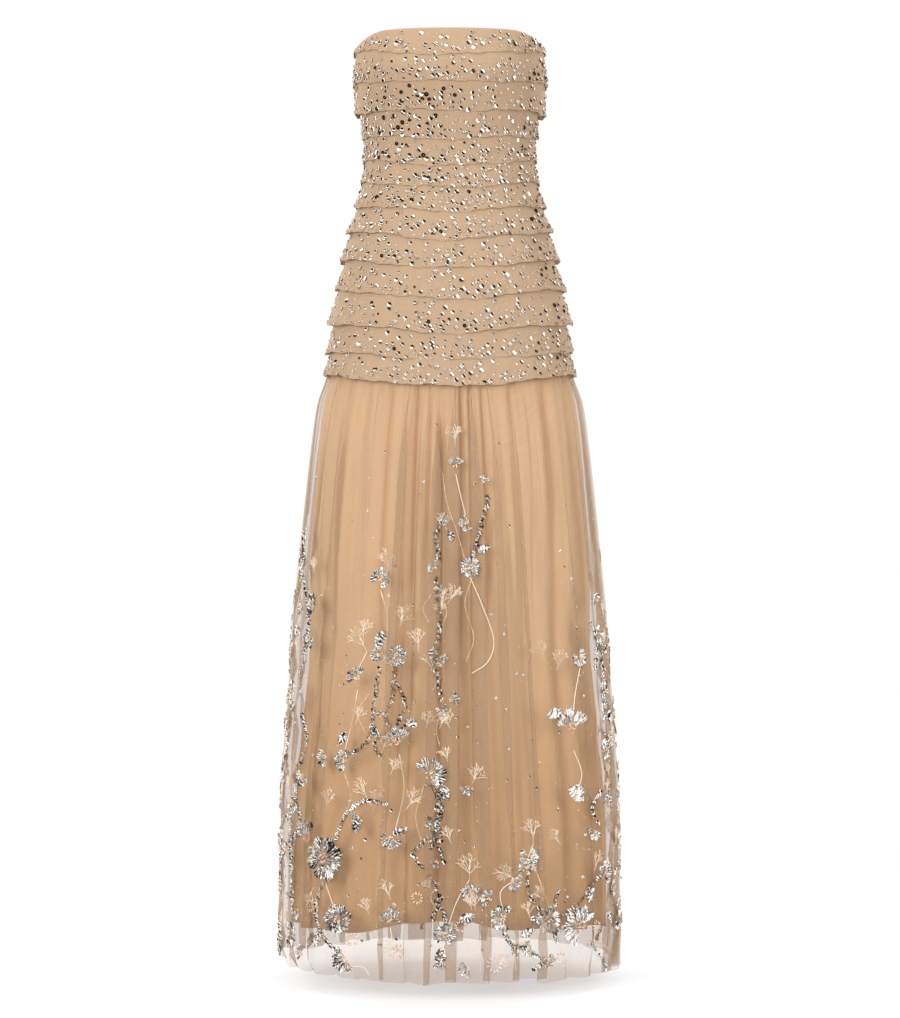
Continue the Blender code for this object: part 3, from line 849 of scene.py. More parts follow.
def map_held_flat():
    """A map, by height and angle, of how flat the embroidery holds the tulle."""
    spots = [
        (*front_spot(row.across, row.z), row.radius * MM) for row in FRONT_FLOWERS + FRONT_BURSTS
    ]
    spots += [(*front_spot(row.across, row.z), 0.6 * row.length * MM) for row in FRONT_LEAVES]
    spots += [
        sprig_middle(*front_spot(row.across, row.z), row.height * MM, row.facing)
        for row in FRONT_SPRIGS
    ]
    for motif in CROWDED_MOTIFS + BACK_FLOWERS + BACK_SPRIGS:
        if motif.kind == "sprig":
            spots.append(sprig_middle(motif.angle, motif.z, motif.size, 90))
        elif motif.kind in ("flower", "leaf"):
            spots.append((motif.angle, motif.z, motif.size))
    lines = [line for _, line in FRONT_LINES + CROWDED_TRAILS + BACK_TRAILS]
    spots += [(*spot, 5 * MM) for line in lines for spot in smooth_line(line, 16)]
    angles = np.arange(HELD_COLUMNS) * TURN / HELD_COLUMNS
    heights = np.arange(TULLE_TOP, TULLE_HEM - 25 * MM, -HELD_STEP)
    held = np.zeros((len(heights), len(angles)))
    for angle, z, radius in spots:
        off = (signed(angles - angle)[None, :] * 0.18) ** 2 + ((heights - z) ** 2)[:, None]
        held = np.maximum(held, np.exp(-((off / (1.3 * radius) ** 2) ** 1.5)))
    return held


def front_spot(across, z):
    return angle_seen_at(across * MM, z * MM), z * MM


FRONT_LINES = [
    (trail.kind, np.array([front_spot(*point) for point in trail.points])) for trail in FRONT_TRAILS
]
HELD_MAP = map_held_flat()


def unit(vectors):
    return vectors / np.linalg.norm(vectors, axis=-1, keepdims=True)


def seats_on(surface, angle, down, down_step):
    """Points on a surface with their directions across, up and outwards."""
    angle, down = np.broadcast_arrays(np.asarray(angle, float), np.asarray(down, float))
    here = surface(angle, down)
    turn = 2e-3
    across = surface(angle + turn, down) - surface(angle - turn, down)
    lower = surface(angle, down + down_step) - surface(angle, down - down_step)
    outward = unit(np.cross(lower, across))
    across = unit(across)
    return here, across, unit(np.cross(outward, across)), outward


class Pile:
    """Many small copies of simple shapes, gathered into one mesh."""

    def __init__(self):
        self.points, self.faces, self.count = [], [], 0

    def add(self, shape, places, axes, sizes):
        """Copies of a shape: axes holds each one's x, y and z directions as columns."""
        verts, faces = shape
        copies = places[:, None, :] + np.einsum("nij,kj->nki", axes * sizes[:, None, :], verts)
        self.points.append(copies.reshape(-1, 3))
        for face in faces:
            first = self.count + len(verts) * np.arange(len(places))[:, None]
            self.faces.extend((first + np.array(face)).tolist())
        self.count += len(verts) * len(places)

    def add_tube(self, line, radius, sides=5):
        """A thin tube along a line of points."""
        ahead = unit(np.gradient(line, axis=0))
        side = unit(np.cross(ahead, unit(line * [1, 1, 0])))
        lift = np.cross(side, ahead)
        turns = np.linspace(0, TURN, sides, endpoint=False)
        rings = line[:, None, :] + radius * (
            np.cos(turns)[None, :, None] * side[:, None, :]
            + np.sin(turns)[None, :, None] * lift[:, None, :]
        )
        self.points.append(rings.reshape(-1, 3))
        for i in range(len(line) - 1):
            for j in range(sides):
                a, b = self.count + i * sides + j, self.count + i * sides + (j + 1) % sides
                self.faces.append([a, b, b + sides, a + sides])
        self.faces.append([self.count + j for j in range(sides)][::-1])
        self.faces.append([self.count + (len(line) - 1) * sides + j for j in range(sides)])
        self.count += len(line) * sides

    def add_grid(self, points, rows, columns):
        """A sheet of points, row by row."""
        index = self.count + np.arange(rows * columns).reshape(rows, columns)
        corners = [index[:-1, :-1], index[:-1, 1:], index[1:, 1:], index[1:, :-1]]
        self.points.append(points.reshape(-1, 3))
        self.faces.extend(np.stack(corners, axis=-1).reshape(-1, 4).tolist())
        self.count += rows * columns

    def build(self, name, material, slot, smooth=True):
        mesh = bpy.data.meshes.new(name)
        mesh.from_pydata(np.concatenate(self.points).tolist(), [], self.faces)
        if smooth:
            mesh.shade_smooth()
        return place_piece(name, mesh, material)


def place_piece(name, mesh, material, body=BODY):
    mesh.materials.append(material)
    piece = bpy.data.objects.new(name, mesh)
    bpy.context.scene.collection.objects.link(piece)
    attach(piece, body)
    return piece


def cupped_sequin(sides=10, cup=0.24):
    """A round sequin, cupped and holed, one unit in radius and open towards +Z."""
    rings = ((0.2, 0.08 * cup), (0.6, 0.25 * cup), (1.0, cup))
    turns = np.linspace(0, TURN, sides, endpoint=False)
    verts = [(r * math.cos(t), r * math.sin(t), h) for r, h in rings for t in turns]
    faces = [
        (
            k * sides + j,
            k * sides + (j + 1) % sides,
            (k + 1) * sides + (j + 1) % sides,
            (k + 1) * sides + j,
        )
        for k in range(len(rings) - 1)
        for j in range(sides)
    ]
    return np.array(verts), faces


def round_bead(sides=6):
    """A small bead, one unit in radius."""
    verts = [(0, 0, -1)]
    for height in (-0.5, 0.5):
        for t in np.linspace(0, TURN, sides, endpoint=False):
            verts.append((0.87 * math.cos(t), 0.87 * math.sin(t), height))
    verts.append((0, 0, 1))
    faces = []
    for j in range(sides):
        a, b = 1 + j, 1 + (j + 1) % sides
        faces += [(0, b, a), (a, b, b + sides, a + sides), (a + sides, b + sides, 2 * sides + 1)]
    return np.array(verts), faces


FLAT_SEQUIN = cupped_sequin(cup=0.1)
CUPPED_SEQUIN = cupped_sequin(cup=0.3)
SMALL_SEQUIN = cupped_sequin(7)
BEAD = round_bead()


def tilted(across, up, outward, tilt_x, tilt_y, spin):
    """The axes turned a little off the cloth, as loosely sewn sequins lie."""
    z_axis = unit(outward + across * tilt_x[:, None] + up * tilt_y[:, None])
    x_axis = unit(np.cross(up, z_axis))
    y_axis = np.cross(z_axis, x_axis)
    turned = x_axis * np.cos(spin)[:, None] + y_axis * np.sin(spin)[:, None]
    return np.stack([turned, np.cross(z_axis, turned), z_axis], axis=-1)


def all_round(columns):
    """The angles of the front, back-left, back-right and whole back panels."""
    gap = 0.0013
    quarter = math.pi / 2
    return {
        "front": np.linspace(-quarter + gap, quarter - gap, columns),
        "back": np.linspace(quarter + gap, 3 * quarter - gap, columns),
        "back_right": np.linspace(quarter + gap, 2 * quarter - 1.4 * gap, columns // 2),
        "back_left": np.linspace(2 * quarter + 1.4 * gap, 3 * quarter - gap, columns // 2),
    }


def sheet_piece(name, surface, angles, shares, material):
    """One sheet of cloth as a grid, with a cloth map in metres. Returns it and its cut size."""
    grid = surface(angles[None, :], shares[:, None])
    rows, columns = grid.shape[:2]
    index = np.arange(rows * columns).reshape(rows, columns)
    corners = [index[:-1, :-1], index[1:, :-1], index[1:, 1:], index[:-1, 1:]]
    faces = np.stack(corners, axis=-1).reshape(-1, 4)
    mesh = bpy.data.meshes.new(name)
    mesh.from_pydata(grid.reshape(-1, 3).tolist(), [], faces.tolist())
    mesh.shade_smooth()
    steps = np.linalg.norm(np.diff(grid, axis=1), axis=-1)
    drops = np.linalg.norm(np.diff(grid, axis=0), axis=-1)
    u = np.concatenate([np.zeros((rows, 1)), np.cumsum(steps, axis=1)], axis=1)
    v = np.concatenate([np.zeros((1, columns)), np.cumsum(drops, axis=0)], axis=0)
    layer = mesh.uv_layers.new(name="cloth")
    layer.data.foreach_set(
        "uv", np.stack([u, -v], axis=-1).reshape(-1, 2)[faces.reshape(-1)].ravel()
    )
    piece = place_piece(name, mesh, material)
    area = float((0.5 * (steps[1:] + steps[:-1]) * 0.5 * (drops[:, 1:] + drops[:, :-1])).sum())
    return piece, float(u[:, -1].max()), float(v[-1].max()), area


def thicken(piece, wall, offset):
    """Gives a sheet its wall: half each way at offset 0, and inwards at -1."""
    modifier = piece.modifiers.new("cloth thickness", "SOLIDIFY")
    modifier.thickness = wall
    modifier.offset = offset


class Nodes:
    """A material's node tree, with short calls to add and join nodes."""

    def __init__(self, name, roughness, metallic=0.0, **sockets):
        self.material = bpy.data.materials.new(name)
        self.material.use_nodes = True
        self.tree = self.material.node_tree
        self.shader = self.tree.nodes["Principled BSDF"]
        self.shader.inputs["Roughness"].default_value = roughness
        self.shader.inputs["Metallic"].default_value = metallic
        for socket, value in sockets.items():
            self.shader.inputs[socket.replace("_", " ")].default_value = value

    def add(self, kind, settings=None, **inputs):
        node = self.tree.nodes.new(kind)
        for key, value in (settings or {}).items():
            setattr(node, key, value)
        for key, value in inputs.items():
            numbered = key[0] == "i" and key[1:].isdigit()
            socket = node.inputs[int(key[1:]) if numbered else key]
            if isinstance(value, bpy.types.NodeSocket):
                self.tree.links.new(value, socket)
            else:
                socket.default_value = value
        return node

    def link(self, output, socket):
        self.tree.links.new(output, self.shader.inputs[socket])

    def math(self, operation, first, second=0.0):
        return self.add("ShaderNodeMath", {"operation": operation}, i0=first, i1=second).outputs[0]

    def mix(self, share, first, second):
        node = self.add("ShaderNodeMix", {"data_type": "RGBA"}, i0=share, i6=first, i7=second)
        return node.outputs[2]

    def cloth_map(self, scale_across, scale_down):
        """The cloth map in metres, stretched so that a texture's unit is a number of threads."""
        place = self.add("ShaderNodeUVMap", {"uv_map": "cloth"}).outputs[0]
        scale = (scale_across, scale_down, 1.0)
        return self.add("ShaderNodeMapping", Vector=place, Scale=scale).outputs[0]

    def noise(self, place, scale, detail=3.0):
        inputs = {"Vector": place, "Scale": scale, "Detail": detail}
        return self.add("ShaderNodeTexNoise", None, **inputs).outputs["Fac"]

    def bump(self, height, distance, strength=0.5):
        inputs = {"Height": height, "Distance": distance, "Strength": strength}
        self.link(self.add("ShaderNodeBump", None, **inputs).outputs[0], "Normal")


def shade(colour, factor):
    return (*(min(1.0, c * factor) for c in colour), 1.0)


# A wave texture's band at this scale is one thread wide
THREAD_BAND = 0.31
# Painted shade darkens the lining's colour over this length in metres, from where it starts down to
# where it is full
LINING_PAINTED_SHADE_OVER = 0.26


def woven_cloth(name, colour, threads, roughness, sheen, streaks, painted_shade_from=None):
    """Opaque cloth with a fine even weave and faint lengthwise streaks. Where a start is given, in
    metres down the cloth, shade is painted into its colour, darker lower down from there."""
    nodes = Nodes(name, roughness, Sheen_Weight=sheen, Sheen_Roughness=0.4)
    warp, weft = [
        nodes.add(
            "ShaderNodeTexWave",
            {"bands_direction": way},
            Vector=nodes.cloth_map(threads, threads),
            Scale=THREAD_BAND,
        ).outputs["Fac"]
        for way in "XY"
    ]
    weave = nodes.math("MULTIPLY", warp, weft)
    streak = nodes.noise(nodes.cloth_map(90, 2.2), 1.0)
    cloud = nodes.noise(nodes.cloth_map(9, 5), 1.0)
    tone = nodes.mix(streak, shade(colour, 1 - streaks), shade(colour, 1 + streaks))
    wear_and_painted_shade = nodes.mix(nodes.math("MULTIPLY", cloud, 0.35), tone, shade(colour, 0.9))
    # Painted shade: lower down the cloth the colour is mixed towards a darker, more golden tone
    if painted_shade_from is not None:
        below = nodes.add("ShaderNodeSeparateXYZ", Vector=nodes.cloth_map(1, 1)).outputs["Y"]
        lower = nodes.add(
            "ShaderNodeMapRange",
            {"interpolation_type": "SMOOTHSTEP"},
            Value=below,
            i1=-painted_shade_from,
            i2=-painted_shade_from - LINING_PAINTED_SHADE_OVER,
        ).outputs[0]
        # deep is the darker colour of the painted shade
        deep = [c * by for c, by in zip(colour, (0.87, 0.80, 0.70))]
        wear_and_painted_shade = nodes.mix(lower, wear_and_painted_shade, shade(deep, 1.0))
    nodes.link(wear_and_painted_shade, "Base Color")
    nodes.bump(nodes.math("ADD", weave, nodes.math("MULTIPLY", streak, 2.0)), 0.15 * MM, 0.35)
    return nodes.material


def net_cloth(name, colour, cells, solid, thread, roughness, sheen):
    """Fine net: threads round small cells, with the cells partly see-through."""
    nodes = Nodes(name, roughness, Sheen_Weight=sheen, Sheen_Roughness=0.35)
    nodes.shader.inputs["Sheen Tint"].default_value = (1.0, 0.88, 0.72, 1.0)
    cell = nodes.add(
        "ShaderNodeTexVoronoi",
        {"feature": "DISTANCE_TO_EDGE"},
        Vector=nodes.cloth_map(cells, cells * 0.8),
        Scale=1.0,
        Randomness=0.35,
    ).outputs["Distance"]
    strand = nodes.add(
        "ShaderNodeMapRange",
        {"interpolation_type": "SMOOTHSTEP"},
        Value=cell,
        i1=0.1,
        i2=0.28,
        i3=1.0,
        i4=0.0,
    ).outputs[0]
    streak = nodes.noise(nodes.cloth_map(60, 1.6), 1.0)
    thick = nodes.math("MULTIPLY_ADD", streak, 0.12)
    thick.node.inputs[2].default_value = solid - 0.06
    alpha = nodes.math("ADD", thick, nodes.math("MULTIPLY", strand, thread))
    nodes.link(alpha, "Alpha")
    nodes.link(nodes.mix(streak, shade(colour, 0.96), shade(colour, 1.05)), "Base Color")
    nodes.bump(strand, 0.12 * MM, 0.4)
    return nodes.material


def silver_foil(name, colour, dark, roughness, sparkle=0.16):
    """Mirror-bright foil whose pieces differ a little in tone."""
    nodes = Nodes(name, roughness, metallic=1.0)
    island = nodes.add("ShaderNodeNewGeometry").outputs["Random Per Island"]
    place = nodes.add("ShaderNodeTexCoord").outputs["Object"]
    grain = nodes.noise(place, 900.0, 2.0)
    tone = nodes.mix(island, shade(colour, dark), shade(colour, 1.05))
    nodes.link(
        nodes.mix(nodes.math("MULTIPLY", grain, 0.25), tone, shade(colour, 0.7)), "Base Color"
    )
    nodes.bump(grain, 0.3 * sparkle * MM, sparkle)
    return nodes.material


def glass_bead(name, colour):
    """Small glossy beads from peach to pale champagne."""
    nodes = Nodes(name, 0.18, Coat_Weight=0.6, Coat_Roughness=0.05)
    island = nodes.add("ShaderNodeNewGeometry").outputs["Random Per Island"]
    pale = (0.93, 0.76, 0.58, 1.0)
    nodes.link(nodes.mix(nodes.math("POWER", island, 1.6), shade(colour, 1.0), pale), "Base Color")
    return nodes.material


def silk_thread(name, colour):
    """Embroidery thread with its twist as fine ridges."""
    nodes = Nodes(name, 0.42, Sheen_Weight=0.3)
    place = nodes.add("ShaderNodeTexCoord").outputs["Object"]
    twist = nodes.add(
        "ShaderNodeTexWave",
        {"bands_direction": "DIAGONAL"},
        Vector=place,
        Scale=700.0,
        Distortion=1.0,
    ).outputs["Fac"]
    nodes.link(nodes.mix(twist, shade(colour, 0.82), shade(colour, 1.1)), "Base Color")
    nodes.bump(twist, 0.08 * MM, 0.5)
    return nodes.material


def colours():
    return bpy.context.scene.gown_colours


def sizes():
    return bpy.context.scene.gown_sizes


class GOWN_OT_stage(Operator):
    """Add the pale floor, the soft lights and the camera"""

    bl_idname = "gown.stage"
    bl_label = "Stage"

    def execute(self, context):
        scene = context.scene
        scene.view_settings.view_transform = "Standard"
        add_floor(sizes().floor_height)
        for light in LIGHTS:
            add_light(light)
        light_world(scene)
        scene.camera = add_camera()
        return {"FINISHED"}


# Soft lights: where each stands and points, its width and height, in metres, and its power
SoftLight = namedtuple("SoftLight", "name place target size power")
LIGHTS = (
    SoftLight("key", (-2.3, -3.3, 0.5), (0, 0, -0.3), (1.3, 2.2), 132),
    SoftLight("fill", (2.6, -3.0, 0.4), (0, 0, -0.3), (1.1, 2.2), 61),
    SoftLight("top", (0.0, -0.9, 2.6), (0, 0, -0.4), (1.8, 1.4), 26),
    SoftLight("right_side", (2.6, -1.2, -1.2), (0, 0, -1.15), (0.6, 0.6), 12),
    SoftLight("back_left", (-2.6, 2.6, 0.5), (0, 0, -0.3), (1.1, 2.2), 100),
    SoftLight("back_right", (2.6, 2.6, 0.5), (0, 0, -0.3), (1.1, 2.2), 100),
)

# The camera is level and half-way up the picture. The height and the row are in pixels, the
# pixel and the distance in metres, and the sensor in mm.
IMAGE_HEIGHT = 1018
PIXEL = 1.4 * MM
BUST_LINE_ROW = 75
CAMERA_DISTANCE = 4.2
SENSOR = 36.0


def add_camera():
    data = bpy.data.cameras.new("camera")
    data.sensor_width = SENSOR
    data.lens = SENSOR * CAMERA_DISTANCE / (IMAGE_HEIGHT * PIXEL)
    camera = bpy.data.objects.new("camera", data)
    bpy.context.scene.collection.objects.link(camera)
    height = (BUST_LINE_ROW - IMAGE_HEIGHT / 2) * PIXEL
    camera.location = (0, -CAMERA_DISTANCE, height)
    camera.rotation_euler = (math.radians(90), 0, 0)
    return camera


def add_light(light):
    data = bpy.data.lights.new(light.name, "AREA")
    data.shape = "RECTANGLE"
    data.size, data.size_y = light.size
    data.energy = light.power
    lamp = bpy.data.objects.new(light.name, data)
    bpy.context.scene.collection.objects.link(lamp)
    lamp.location = light.place
    lamp.visible_glossy = False
    aim = Vector(light.target) - Vector(light.place)
    lamp.rotation_euler = aim.to_track_quat("-Z", "Y").to_euler()


def light_world(scene):
    """Plain white behind the gown, a dim room round it, and a studio of bright panels and
    dark corners in its mirrors."""
    world = bpy.data.worlds.new("studio")
    scene.world = world
    world.use_nodes = True
    tree = world.node_tree
    rays = tree.nodes.new("ShaderNodeLightPath").outputs
    panels = tree.nodes.new("ShaderNodeTexWave")
    panels.bands_direction = "DIAGONAL"
    for socket, value in {
        "Scale": 0.45,
        "Distortion": 3.0,
        "Detail": 1.0,
        "Detail Scale": 1.6,
    }.items():
        panels.inputs[socket].default_value = value
    tree.links.new(
        tree.nodes.new("ShaderNodeTexCoord").outputs["Generated"], panels.inputs["Vector"]
    )
    ramp = tree.nodes.new("ShaderNodeValToRGB")
    ramp.color_ramp.interpolation = "CONSTANT"
    ramp.color_ramp.elements[0].color = (0.015, 0.013, 0.012, 1)
    bright = ramp.color_ramp.elements[1]
    bright.position, bright.color = 0.56, (1.7, 1.65, 1.58, 1)
    middle = ramp.color_ramp.elements.new(0.42)
    middle.color = (0.36, 0.32, 0.27, 1)
    tree.links.new(panels.outputs["Color"], ramp.inputs[0])
    mirrored = tree.nodes.new("ShaderNodeMix")
    mirrored.data_type = "RGBA"
    mirrored.inputs[6].default_value = (0.56, 0.56, 0.57, 1)
    tree.links.new(ramp.outputs[0], mirrored.inputs[7])
    tree.links.new(rays["Is Glossy Ray"], mirrored.inputs[0])
    seen = tree.nodes.new("ShaderNodeMix")
    seen.data_type = "RGBA"
    seen.inputs[7].default_value = (1, 1, 1, 1)
    tree.links.new(mirrored.outputs[2], seen.inputs[6])
    tree.links.new(rays["Is Camera Ray"], seen.inputs[0])
    tree.links.new(seen.outputs[2], tree.nodes["Background"].inputs["Color"])


def add_floor(height):
    """A pale floor that doesn't throw light back up at the hem."""
    bpy.ops.mesh.primitive_circle_add(
        vertices=96, radius=1.5, fill_type="NGON", location=(0, 0, height)
    )
    floor = bpy.context.object
    floor.name = "floor"
    floor.visible_diffuse = False
    floor.visible_glossy = False
    nodes = Nodes("pale_floor", 0.9, Emission_Strength=0.45)
    nodes.shader.inputs["Emission Color"].default_value = (1, 1, 1, 1)
    place = nodes.add("ShaderNodeTexCoord").outputs["Object"]
    nodes.link(
        nodes.mix(nodes.noise(place, 6.0), (0.50, 0.50, 0.50, 1), (0.53, 0.53, 0.53, 1)),
        "Base Color",
    )
    floor.data.materials.append(nodes.material)


class GOWN_OT_base_bodice(Operator):
    """Make the nude base bodice that carries the tiers"""

    bl_idname = "gown.base_bodice"
    bl_label = "Base bodice"

    def execute(self, context):
        material = woven_cloth("nude_crepe", colours().base, 1500, 0.7, 0.25, 0.03)
        panels = all_round(BASE_GRID[0])
        shares = np.linspace(0, 1, BASE_GRID[1])
        for panel in ("front", "back_left", "back_right"):
            name = f"base_{panel}"
            piece, *cut = sheet_piece(
                name, base_surface, panels[panel], shares, material
            )
            thicken(piece, BASE_WALL, 0)
            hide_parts(f"bodice_{panel}")
        return {"FINISHED"}


class GOWN_OT_tiers(Operator):
    """Make the thirteen overlapping tulle tiers"""

    bl_idname = "gown.tiers"
    bl_label = "Tiers"

    def execute(self, context):
        material = net_cloth("champagne_tulle", colours().tier, 1100, 0.6, 0.22, 0.72, 0.2)
        panels = all_round(TIER_COLUMNS)
        shares = np.concatenate(
            [np.linspace(0, 0.97, TIER_ROWS_DOWN), [0.99, 1.0, 1.1, 1.16, 1.5, 2.0]]
        )
        for index in range(len(TIERS)):
            backs = ("back_left", "back_right") if index < TIERS_OPENED_BY_ZIP else ("back",)
            for panel in ("front", *backs):
                node = f"tier_{index + 1:02d}_{panel}"
                piece, *cut = sheet_piece(
                    f"tulle_{node}",
                    tier_surface(index),
                    panels[panel],
                    shares,
                    material,
                )
                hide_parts(node)
        return {"FINISHED"}


class GOWN_OT_skirt(Operator):
    """Make the nude lining and the sheer tulle skirt over it"""

    bl_idname = "gown.skirt"
    bl_label = "Skirt"

    def execute(self, context):
        # The lining's colour gets painted shade lower down, from 0.33 m down the cloth
        lining = woven_cloth(
            "nude_lining", colours().lining, 1300, 0.55, 0.2, 0.08, painted_shade_from=0.33
        )
        tulle = net_cloth("skirt_tulle", colours().tulle, 1000, 0.235, 0.16, 0.7, 0.6)
        columns, rows = LINING_GRID
        for panel in ("front", "back"):
            piece, *cut = sheet_piece(
                f"lining_skirt_{panel}",
                lining_surface,
                all_round(columns)[panel],
                np.linspace(0, 1, rows),
                lining,
            )
            thicken(piece, LINING_WALL, -1)
            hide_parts(f"lining_{panel}")
        columns, rows = TULLE_GRID
        for panel in ("front", "back"):
            shares = np.linspace(0, 1, rows) ** TULLE_ROW_POWER
            piece, *cut = sheet_piece(
                f"tulle_skirt_{panel}",
                skirt_surface,
                all_round(columns)[panel],
                shares,
                tulle,
            )
            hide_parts(f"skirt_{panel}")
        return {"FINISHED"}


# No sequin is sewn nearer than this to the middle of another
SEQUIN_ROOM = 6.0 * MM
# How far down a tier, as shares of it, the sequins start and end and the beads end
FIRST_TIER_TRIM_TOP = 0.10
TRIM_TOP = 0.32
SEQUINS_END = 0.955
BEADS_END = 0.985
# A tier this long has all its sequins, and a shorter one has fewer
FULL_TIER_LENGTH = 46 * MM
# The bodice's half round, as a half circle of this radius
BODICE_REACH = 0.125
BODICE_SEED = 11


def spread_out(rng, count, tries, weight, least):
    """Picks places in a unit square by weight, none nearer to another than least allows."""
    chosen = np.empty((0, 2))
    for _ in range(tries):
        spot = rng.random(2)
        if rng.random() > weight(spot[1]):
            continue
        if len(chosen) and np.hypot(*((chosen - spot) / least).T).min() < 1:
            continue
        chosen = np.vstack([chosen, spot])
        if len(chosen) == count:
            break
    return chosen


def tier_density(share):
    """Sequins are sparse at a tier's top and crowd towards its lower edge."""
    return 0.16 + 0.84 * share**1.4


def sew_on(pile, shape, surface, angle, down, step, radii, tilt, rng, lift):
    """Adds one shape at each place on a surface, loosely tilted."""
    here, across, up, outward = seats_on(surface, angle, down, step)
    count = len(radii)
    tilt_x, tilt_y = rng.normal(0, tilt, count), rng.normal(0.0, tilt, count)
    axes = tilted(across, up, outward, tilt_x, tilt_y, rng.uniform(0, TURN, count))
    pile.add(shape, here + outward * lift, axes, np.repeat(radii[:, None], 3, axis=1))


class GOWN_OT_bodice_sequins(Operator):
    """Sew round silver sequins and small beads over the tiers"""

    bl_idname = "gown.bodice_sequins"
    bl_label = "Bodice sequins"

    def execute(self, context):
        silver = silver_foil("silver_sequin", colours().silver, 0.8, 0.07)
        peach = glass_bead("champagne_bead", colours().peach)
        rng = np.random.default_rng(BODICE_SEED)
        for half, start in (("front", -math.pi / 2), ("back", math.pi / 2)):
            sequins, beads = Pile(), Pile()
            for index in range(len(TIERS)):
                self.trim_tier(index, start, sequins, beads, rng)
            sequins.build(f"bodice_sequins_{half}", silver, "silver_sequin")
            beads.build(f"bodice_beads_{half}", peach, "peach_bead")
        return {"FINISHED"}

    def trim_tier(self, index, start, sequins, beads, rng):
        surface = tier_surface(index)
        top = FIRST_TIER_TRIM_TOP if index == 0 else TRIM_TOP
        length = float(tier_root(index, start + 1.2) - tier_edge(index, start + 1.2))
        shorter = min(1.0, length / FULL_TIER_LENGTH)
        count = int(sizes().sequins_per_tier / 2 * shorter)
        least = SEQUIN_ROOM / np.array([math.pi * BODICE_REACH, length * (SEQUINS_END - top)])
        spots = spread_out(rng, count, 30 * count, tier_density, least)
        angle = start + 0.012 + spots[:, 0] * (math.pi - 0.024)
        down = top + spots[:, 1] * (SEQUINS_END - top)
        middle = sizes().sequin_size / 2
        flat = rng.random(len(angle)) < 0.4
        for shape, chosen, shares in (
            (FLAT_SEQUIN, flat, (0.25, 0.45, 0.3)),
            (CUPPED_SEQUIN, ~flat, (0.5, 0.42, 0.08)),
        ):
            radii = middle * rng.choice([0.64, 1.0, 1.2], chosen.sum(), p=shares)
            places = angle[chosen], down[chosen]
            sew_on(sequins, shape, surface, *places, 0.01, radii, 0.2, rng, 0.5 * MM)
        count = int(sizes().beads_per_tier / 2 * shorter)
        spots = spread_out(rng, count, 20 * count, tier_density, least * 0.4)
        angle = start + 0.01 + spots[:, 0] * (math.pi - 0.02)
        down = top + spots[:, 1] * (BEADS_END - top)
        radii = rng.uniform(0.75, 1.15, len(angle)) * MM
        sew_on(beads, BEAD, surface, angle, down, 0.01, radii, 0.2, rng, 0.7 * MM)


def place_on_tulle(angle, z, across, up):
    """Places at distances across and up from a spot on the tulle."""
    reach = float(table_radius(TULLE, np.array([angle]), np.array([z]))[0])
    return angle + np.asarray(across) / reach, z + np.asarray(up)


def tulle_seats(angle, z, surface=embroidered_at):
    """Seats on the skirt's tulle at heights z."""
    return seats_on(lambda a, depth: surface(a, -depth), angle, -np.asarray(z), 0.5 * MM)


SKIRT_SEEDS = {"front": 29, "back": 43}
CHAIN_SPACING = 2.7 * MM
STRING_SPACING = 1.9 * MM
STEM_RADIUS = 0.62 * MM
TWIG_RADIUS = 0.36 * MM
PETAL_ROWS = 6
RIB_WIDTH = 2.9 * MM
RIB_HEIGHT = 1.3 * MM


def add_petal(silver, angle, z, inner, reach, heading, spread, rng):
    """One pleated petal: ribs side by side, fanning out from near the flower's centre."""
    ribs = max(3, round(spread * reach * 0.72 / RIB_WIDTH))
    columns = 2 * ribs + 1
    across = np.linspace(-1, 1, columns)[None, :]
    along = np.linspace(0, 1, PETAL_ROWS)[:, None]
    tip = 1 - 0.16 * across**2 - 0.10 * (np.arange(columns) % 2 == 0)[None, :]
    tip = tip + rng.normal(0, 0.02, (1, columns))
    r = inner + (reach * tip - inner) * along
    turn = heading + across * spread / 2 * (0.72 + 0.28 * np.sin(along * math.pi / 2))
    spots = place_on_tulle(angle, z, (r * np.cos(turn)).ravel(), (r * np.sin(turn)).ravel())
    here, _, _, outward = tulle_seats(*spots)
    ridge = np.where(np.arange(columns) % 2 == 1, 1.0, 0.0)[None, :]
    rise = 0.5 * MM + RIB_HEIGHT * ridge * (0.5 + 0.5 * along) + 0.05 * reach * along**1.5
    rise = rise - 0.03 * reach * across**2 + rng.normal(0, 0.42 * MM, (PETAL_ROWS, columns))
    silver.add_grid(here + outward * rise.reshape(-1, 1), PETAL_ROWS, columns)


def add_flower(silver, beads, angle, z, flower, rng):
    """A fan or round of pleated silver petals with a cluster of beads at its centre."""
    radius = flower.radius * MM
    full = math.radians(flower.fan)
    first = math.radians(flower.facing) - full / 2
    spread = full / flower.petals
    for petal in range(flower.petals):
        heading = first + spread * (petal + 0.5) + rng.normal(0, 0.04)
        reach = radius * rng.uniform(0.9, 1.04)
        add_petal(silver, angle, z, 0.15 * radius, reach, heading, spread * 0.98, rng)
    count = max(5, int(flower.radius * 0.7))
    turn, far = rng.uniform(0, TURN, count), 0.24 * radius * np.sqrt(rng.random(count))
    spots = place_on_tulle(angle, z, far * np.cos(turn), far * np.sin(turn))
    add_beads(beads, *spots, rng.uniform(0.9, 1.3, count) * MM, rng, lift=1.2 * MM)


